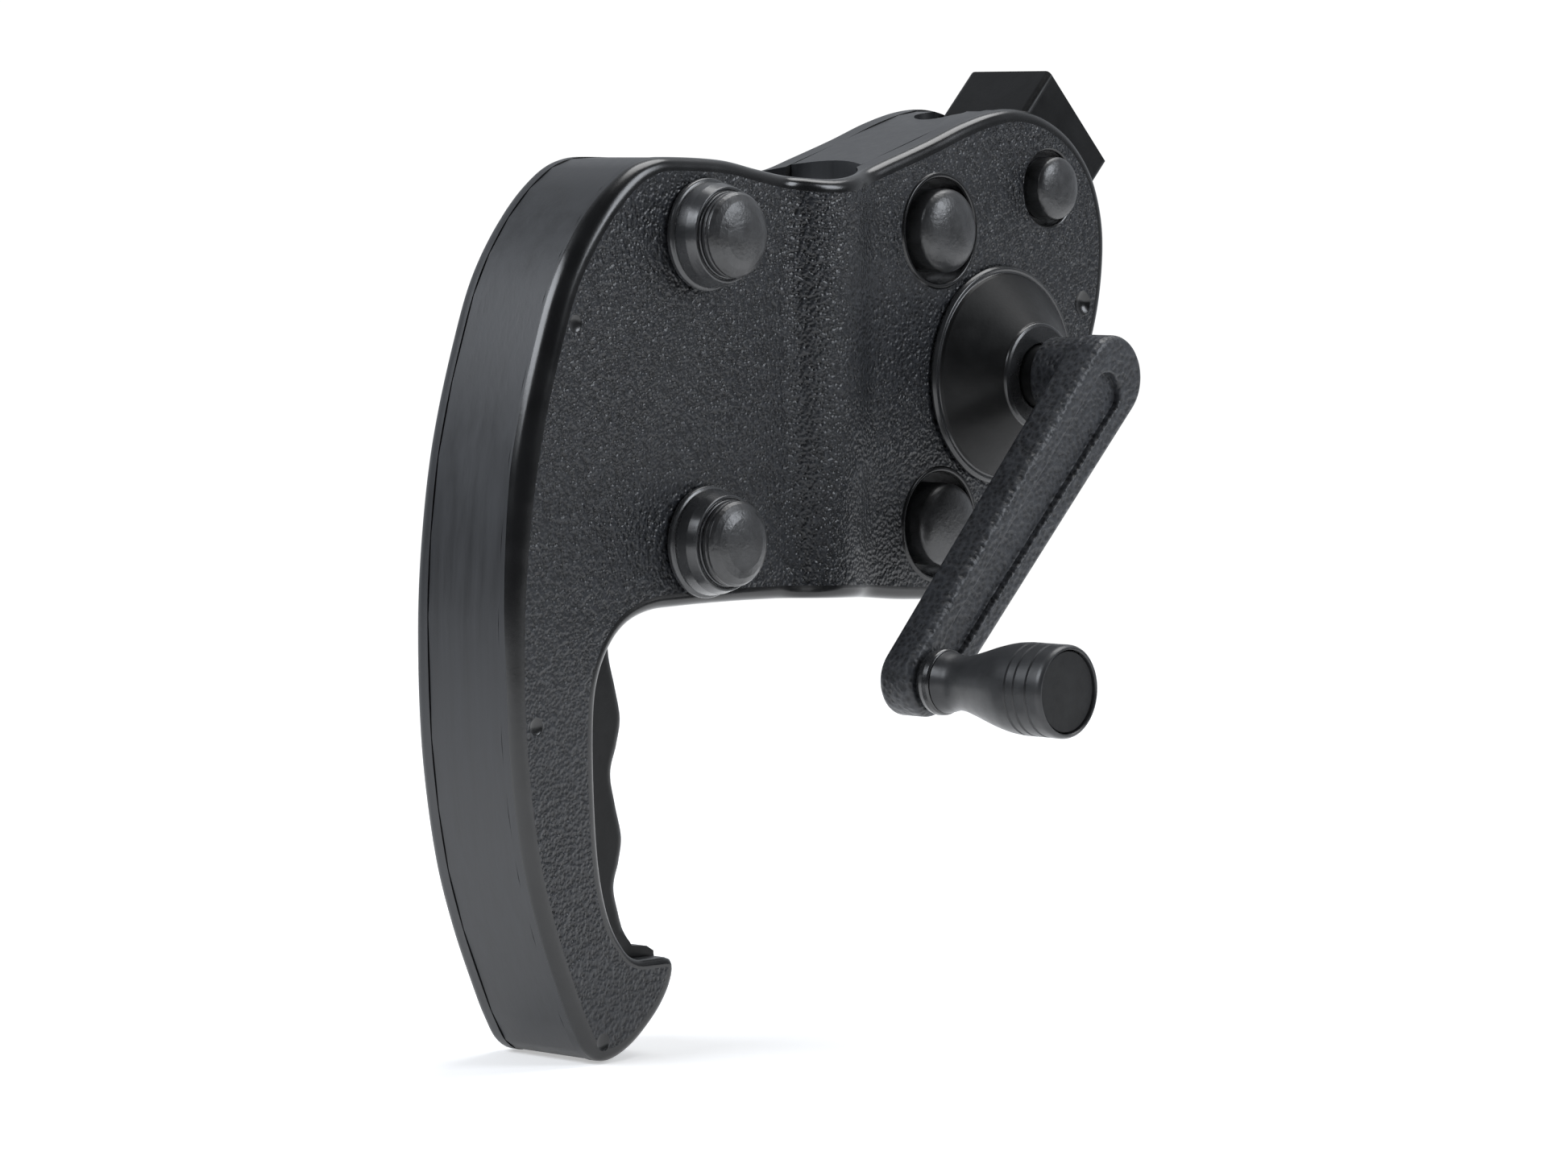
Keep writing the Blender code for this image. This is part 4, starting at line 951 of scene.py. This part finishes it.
def crank_arm():
    """The crank's casting: a tapered arm with a sunk channel, and a hub on the shaft."""
    edge, lip, steps = 2.2, 0.8, 5
    length = RUN.length
    rings = []

    def outer(shrink, y):
        """A ring on the arm's outside, drawn in by shrink."""
        rings.append(level(stadium(0.0, 13.0 - shrink, length, 10.6 - shrink), -y))

    def inner(shrink, y):
        """A ring in the arm's channel, drawn in by shrink."""
        rings.append(level(stadium(6.0, 6.2 - shrink, length - 15.0, 4.6 - shrink), -y))

    for shrink, drop in quarter(steps):
        outer(edge * shrink, 55.0 + edge * drop)
    for drop, shrink in quarter(steps):
        outer(edge * shrink, 67.0 - edge * drop)
    outer(edge + 0.4, 67.0)
    inner(-lip - 0.4, 67.0)
    for shrink, drop in quarter(steps):
        inner(-lip * shrink, 67.0 - lip * drop)
    inner(0.25, 64.9)
    inner(0.9, 64.8)
    body = stacked("crank_arm_casting", rings)
    hub = [
        (0.0, 43.0), (11.2, 43.0), (12.0, 43.8), (12.0, 54.0), (12.6, 55.2), (12.6, 58.0),
        (0.0, 58.0),
    ]
    join(body, turned("hub", mirrored(hub, -1), CRANK, segments=72))
    cut(body, rod("shaft_bore", 5.3, -30.0, -58.0, CRANK))
    pin_place = (CRANK[0], -48.5, 0.0)
    cut(body, rod("pin_hole", 1.8, -20.0, 20.0, pin_place, 24, "Z"))
    cut(body, rod("screw_bore", 3.3, -50.0, -80.0, KNOB_AT, 32))
    return finish_piece(body, [PAINT], "crank", ["crank_arm"])


crank_arm()

ferrule_line = [
    (4.3, 67.3), (7.6, 67.3), (8.7, 68.2), (9.5, 69.6), (9.8, 71.0), (9.6, 72.4), (9.2, 73.0),
    (4.3, 73.0),
]
ferrule_line = mirrored(softened(ferrule_line, 0.5, 4, closed=True), -1)
piece = turned("knob_collar", ferrule_line, KNOB_AT, ring=True)
finish_piece(piece, [FERRULE], "crank", ["knob_ferrule"])


def grip_line():
    """The knob's barrel from its neck, with three turned grooves before its rounded end."""
    neck = (
        (9.0, 73.3), (8.5, 75.4), (7.9, 78.0), (8.1, 81.4), (9.5, 86.6), (11.6, 93.4), (12.9, 99.0),
        (13.3, 103.0),
    )
    line = [(4.3, 73.3), *spline(neck, 5, closed=False)]
    for y in (104.0, 107.2, 111.6):
        line += [(13.35, y), (12.95, y + 0.35), (12.95, y + 0.65), (13.35, y + 1.0)]
    end = [
        (13.4, 115.4), (13.35, 116.3), (13.1, 117.0), (12.7, 117.4), (12.3, 117.45), (12.0, 117.1),
        (12.0, 113.6), (7.0, 113.6), (7.0, 107.4), (4.3, 107.4),
    ]
    return line + end


piece = turned("knob_barrel", mirrored(grip_line(), -1), KNOB_AT, segments=96, ring=True)
finish_piece(piece, [KNOB], "knob", ["knob_grip"])
end_line = [
    (0.0, 113.9), (11.4, 113.9), (11.7, 114.2), (11.7, 116.3), (11.4, 116.6), (2.0, 116.7),
    (0.0, 116.7),
]
piece = turned("knob_end_disc", mirrored(end_line, -1), KNOB_AT, segments=72)
finish_piece(piece, [DISC], "knob", ["knob_end_cap"])

# ---- the release lever

FINGER_EDGE = (
    (-86.6, -58.0), (-85.6, -68.0), (-84.7, -76.0), (-82.2, -84.6), (-80.2, -93.5), (-81.8, -101.4),
    (-84.2, -109.0), (-82.3, -118.0), (-79.8, -127.4), (-81.0, -135.0), (-83.0, -141.8),
    (-81.0, -149.6), (-78.6, -157.0), (-78.4, -164.0),
)
LEVER_BACK = (
    (-95.0, -163.0), (-101.0, -150.0), (-104.0, -130.0), (-105.0, -105.0), (-103.0, -80.0),
    (-100.0, -62.0), (-90.0, -20.0), (-84.5, -5.0), (-84.5, 6.0), (-71.5, 6.0), (-71.5, -6.0),
    (-76.0, -25.0),
)
LEVER_HALF, LEVER_EDGE, LEVER_HUB, TAIL_HALF, CROSS_X = 13.0, 4.6, 6.6, 10.5, -78.0


def lever():
    """The grip that the fingers squeeze, with bumps, and its forked tail up to the lock pin."""
    hub = arc((LEVER_AT[0], LEVER_AT[2]), LEVER_HUB, 0.0, -math.pi, 18)
    line = spline(FINGER_EDGE, 8, closed=False) + hub + list(LEVER_BACK)
    loop = [p for p in reversed(line) if p[1] < -54.0]
    along = normals(loop)
    # Only the finger side is rounded, and less so at its two ends.
    reach = [
        max(0.0, min(1.0, (-61.0 - z) / 4, (z + 158.5) / 5)) if x > -86.5 else 0.0
        for x, z in loop
    ]
    rings = []
    for shrink, drop in quarter(7):
        ring = inset(loop, [LEVER_EDGE * shrink * r for r in reach], along)
        rings.append((LEVER_EDGE * drop - LEVER_HALF, ring))
    rings += [(-y, ring) for y, ring in reversed(rings)]
    body = stacked("squeeze_lever", [level(ring, y) for y, ring in rings])
    for side in (-1, 1):
        near, far = sorted((side * TAIL_HALF, side * 40))
        cut(body, block("hub_side", (-120, near, -190), (-50, far, -160.5)))
    tail = [(-87.6, -57.0), (-90.0, -80.0), (-98.0, -80.0), (-98.6, -60.0), *LEVER_BACK[6:]]
    join(body, stacked("tail", [level(tail, y) for y in (-TAIL_HALF, TAIL_HALF)]))
    toe = [
        (-85.0, -160.5), (-85.0, -159.0), (-78.6, -159.0), (-72.0, -159.8), (-69.2, -161.4),
        (-68.6, -166.2), (-77.0, -166.2),
    ]
    join(body, stacked("toe", [level(toe, y) for y in (-LEVER_HALF, LEVER_HALF)]))
    cut(body, block("fork_room", (-110, -7.3, -10), (-50, 7.3, 30)))
    cut(body, block("fork_slots", (CROSS_X - 2.5, -30, -4), (CROSS_X + 2.5, 30, 30)))
    cut(body, rod("lever_bore", 2.8, -30, 30, LEVER_AT, 32))
    return finish_piece(body, [GRIP], "lever", ["release_lever"])


lever()

# ---- the lock pin's coil


def lock_spring():
    """The coil behind the lock pin, built at one length; nothing here shortens it as the pin draws back
    into it.
    """
    low_end, high_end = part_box("lock_spring")
    back, front = low_end.x / MM, high_end.x / MM
    wire, radius, turns, per_turn, sides, travel = 0.7, 4.7, 6.0, 16, 10, 13.6
    steps = int(turns * per_turn)
    rings = []
    for i in range(steps + 1):
        around = 2 * math.pi * i / per_turn
        along = back + wire + (front - back - 2 * wire) * i / steps
        outward = Vector((0.0, math.cos(around), math.sin(around)))
        ring = []
        for k in range(sides):
            t = 2 * math.pi * k / sides
            spot = Vector((along + wire * math.sin(t), 0.0, 0.0))
            ring.append(spot + outward * (radius + wire * math.cos(t)))
        rings.append(ring)
    made = finish_piece(stacked("lock_coil", rings), [STEEL], "slider", ["lock_spring"])
    made.modifiers.clear()
    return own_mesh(made)


lock_spring()

# ---- CAD nodes that show as they are

CAD_WELD, CAD_SHARP = 4e-6, math.radians(32)


def smooth_group():
    """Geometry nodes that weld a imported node's faces and shade it smooth but for its real edges."""
    group = bpy.data.node_groups.new("weld_and_smooth", "GeometryNodeTree")
    group.interface.new_socket("Geometry", in_out="INPUT", socket_type="NodeSocketGeometry")
    group.interface.new_socket("Geometry", in_out="OUTPUT", socket_type="NodeSocketGeometry")
    new = group.nodes.new
    source, result = new("NodeGroupInput"), new("NodeGroupOutput")
    bare = new("GeometryNodeRemoveAttribute")
    bare.inputs["Name"].default_value = "custom_normal"
    weld = new("GeometryNodeMergeByDistance")
    weld.inputs["Distance"].default_value = CAD_WELD
    faces = new("GeometryNodeSetShadeSmooth")
    faces.domain = "FACE"
    edges = new("GeometryNodeSetShadeSmooth")
    edges.domain = "EDGE"
    edges.inputs["Shade Smooth"].default_value = False
    angle = new("GeometryNodeInputMeshEdgeAngle")
    over = new("FunctionNodeCompare")
    over.data_type = "FLOAT"
    over.operation = "GREATER_THAN"
    over.inputs["B"].default_value = CAD_SHARP
    for a, b in (
        (source.outputs[0], bare.inputs["Geometry"]), (bare.outputs[0], weld.inputs["Geometry"]),
        (weld.outputs[0], faces.inputs["Geometry"]), (faces.outputs[0], edges.inputs["Geometry"]),
        (angle.outputs["Unsigned Angle"], over.inputs["A"]),
        (over.outputs[0], edges.inputs["Selection"]), (edges.outputs[0], result.inputs[0]),
    ):
        group.links.new(a, b)
    return group


SMOOTH = smooth_group()
SLOT_LOOKS = {
    "cover_plastic": LEATHER, "core_plastic": BAND, "cap_plastic": CAP, "moulded_plastic": GRIP,
    "crank_casting": PAINT, "knob_plastic": KNOB, "acetal": ACETAL, "steel": STEEL,
}
for entry in frame["record"]["subparts"]:
    node = NODES[entry["node"]]
    if node.hide_render:
        continue
    node.data.materials.clear()
    node.data.materials.append(SLOT_LOOKS[entry["material_slot"]])
    change = node.modifiers.new("weld_and_smooth", "NODES")
    change.node_group = SMOOTH

# ---- floor, light and camera

low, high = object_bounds()
middle = (low + high) / 2
FLOOR_Z = low.z - 0.0004

VIEW_TURN = math.radians(47.0)
forward = Vector((math.sin(VIEW_TURN), math.cos(VIEW_TURN), 0.0))
right = Vector((forward.y, -forward.x, 0.0))
up = Vector((0.0, 0.0, 1.0))

COOL, WHITE = (0.90, 0.94, 1.0), (1.0, 1.0, 1.0)
# How directly the sweep's dark and bright ends lie ahead of the viewer, then their light.
SWEEP = (-0.05, 0.55, 0.02, 0.58)
SEEN_LEVEL = 1.05
CAMERA_AT, CAMERA_LENS = (-1.2291, -1.1014, 0.0684), 128.0
AIM_RIGHT, AIM_DOWN = 0.0205, 0.0788


def floor():
    """A white paper disc under the object, bright enough to melt into the background."""
    reach, steps, glow = 1.2, 96, 0.42
    turns = [2 * math.pi * i / steps for i in range(steps)]
    verts = [Vector((reach * math.cos(t), reach * math.sin(t), FLOOR_Z)) / MM for t in turns]
    made = keep("floor", verts, [tuple(range(steps))])
    look = Look("floor_paper", 0.9)
    look.tint(look.noise(3.0, 4), (0.80, 0.80, 0.80), (0.84, 0.84, 0.84))
    look.bump(look.noise(240, 2), 0.05, 0.3)
    look.set("Emission Color", (*WHITE, 1.0))
    look.set("Emission Strength", glow)
    made.data.materials.append(look.material)
    made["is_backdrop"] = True


def backdrop_light():
    """A white sweep behind and beside the object and a dark room behind the viewer.

    The camera itself sees white all round.
    """
    world = bpy.data.worlds.new("studio")
    bpy.context.scene.world = world
    world.use_nodes = True
    tree = world.node_tree
    tree.nodes.clear()
    new = tree.nodes.new
    place, path = new("ShaderNodeTexCoord"), new("ShaderNodeLightPath")
    facing = new("ShaderNodeVectorMath")
    facing.operation = "DOT_PRODUCT"
    facing.inputs[1].default_value = forward
    sweep = new("ShaderNodeMapRange")
    for entry, number in zip(list(sweep.inputs)[1:5], SWEEP):
        entry.default_value = number
    strength = new("ShaderNodeMix")
    strength.data_type = "FLOAT"
    strength.inputs[3].default_value = SEEN_LEVEL
    tone = new("ShaderNodeMix")
    tone.data_type = "RGBA"
    tones = [entry for entry in tone.inputs if entry.type == "RGBA"]
    tones[0].default_value = (*COOL, 1.0)
    tones[1].default_value = (*WHITE, 1.0)
    mixed = [entry for entry in tone.outputs if entry.type == "RGBA"][0]
    background, output = new("ShaderNodeBackground"), new("ShaderNodeOutputWorld")
    for a, b in (
        (place.outputs["Generated"], facing.inputs[0]), (facing.outputs["Value"], sweep.inputs[0]),
        (path.outputs["Is Camera Ray"], strength.inputs[0]), (sweep.outputs[0], strength.inputs[2]),
        (path.outputs["Is Camera Ray"], tone.inputs[0]), (mixed, background.inputs["Color"]),
        (strength.outputs[0], background.inputs["Strength"]),
        (background.outputs[0], output.inputs[0]),
    ):
        tree.links.new(a, b)


def lamp(name, data, direction):
    """Puts a light in the scene, turned to shine along direction."""
    made = bpy.data.objects.new(name, data)
    made.rotation_mode = "QUATERNION"
    made.rotation_quaternion = Vector(direction).to_track_quat("-Z", "Y")
    bpy.context.scene.collection.objects.link(made)
    return made


def softbox(name, place, size, power):
    """A cool rectangular lamp that shines at the object and doesn't show itself."""
    data = bpy.data.lights.new(name, "AREA")
    data.shape = "RECTANGLE"
    data.size, data.size_y = size
    data.energy = power
    data.color = COOL
    made = lamp(name, data, middle - place)
    made.location = place
    made.visible_camera = False


def sun(name, direction, strength, spread):
    """Even light along direction, spread over that many degrees."""
    data = bpy.data.lights.new(name, "SUN")
    data.energy = strength
    data.angle = math.radians(spread)
    lamp(name, data, direction)


def studio(turn, lift, reach):
    """A place round the object, turned to the right of the viewer and lifted, both in degrees."""
    turn, lift = math.radians(turn), math.radians(lift)
    flat_way = -forward * math.cos(turn) + right * math.sin(turn)
    return middle + (flat_way * math.cos(lift) + up * math.sin(lift)) * reach


floor()
backdrop_light()
sun("overhead", -(up + right * 0.30 + forward * 0.30), 1.7, 40)
softbox("left_box", studio(-68, 36, 1.6), (1.0, 0.7), 17)
softbox("right_box", studio(74, 30, 1.3), (0.5, 0.6), 7.5)

scene = bpy.context.scene
scene.view_settings.view_transform = "Standard"
camera_data = bpy.data.cameras.new("camera")
camera = bpy.data.objects.new("camera", camera_data)
scene.collection.objects.link(camera)
scene.camera = camera
camera.location = CAMERA_AT
camera.rotation_mode = "QUATERNION"
aim = forward + right * AIM_RIGHT - up * AIM_DOWN
camera.rotation_quaternion = aim.to_track_quat("-Z", "Y")
camera_data.sensor_width = 36.0
camera_data.lens = CAMERA_LENS
camera_data.clip_start = 0.01
camera_data.clip_end = 200.0
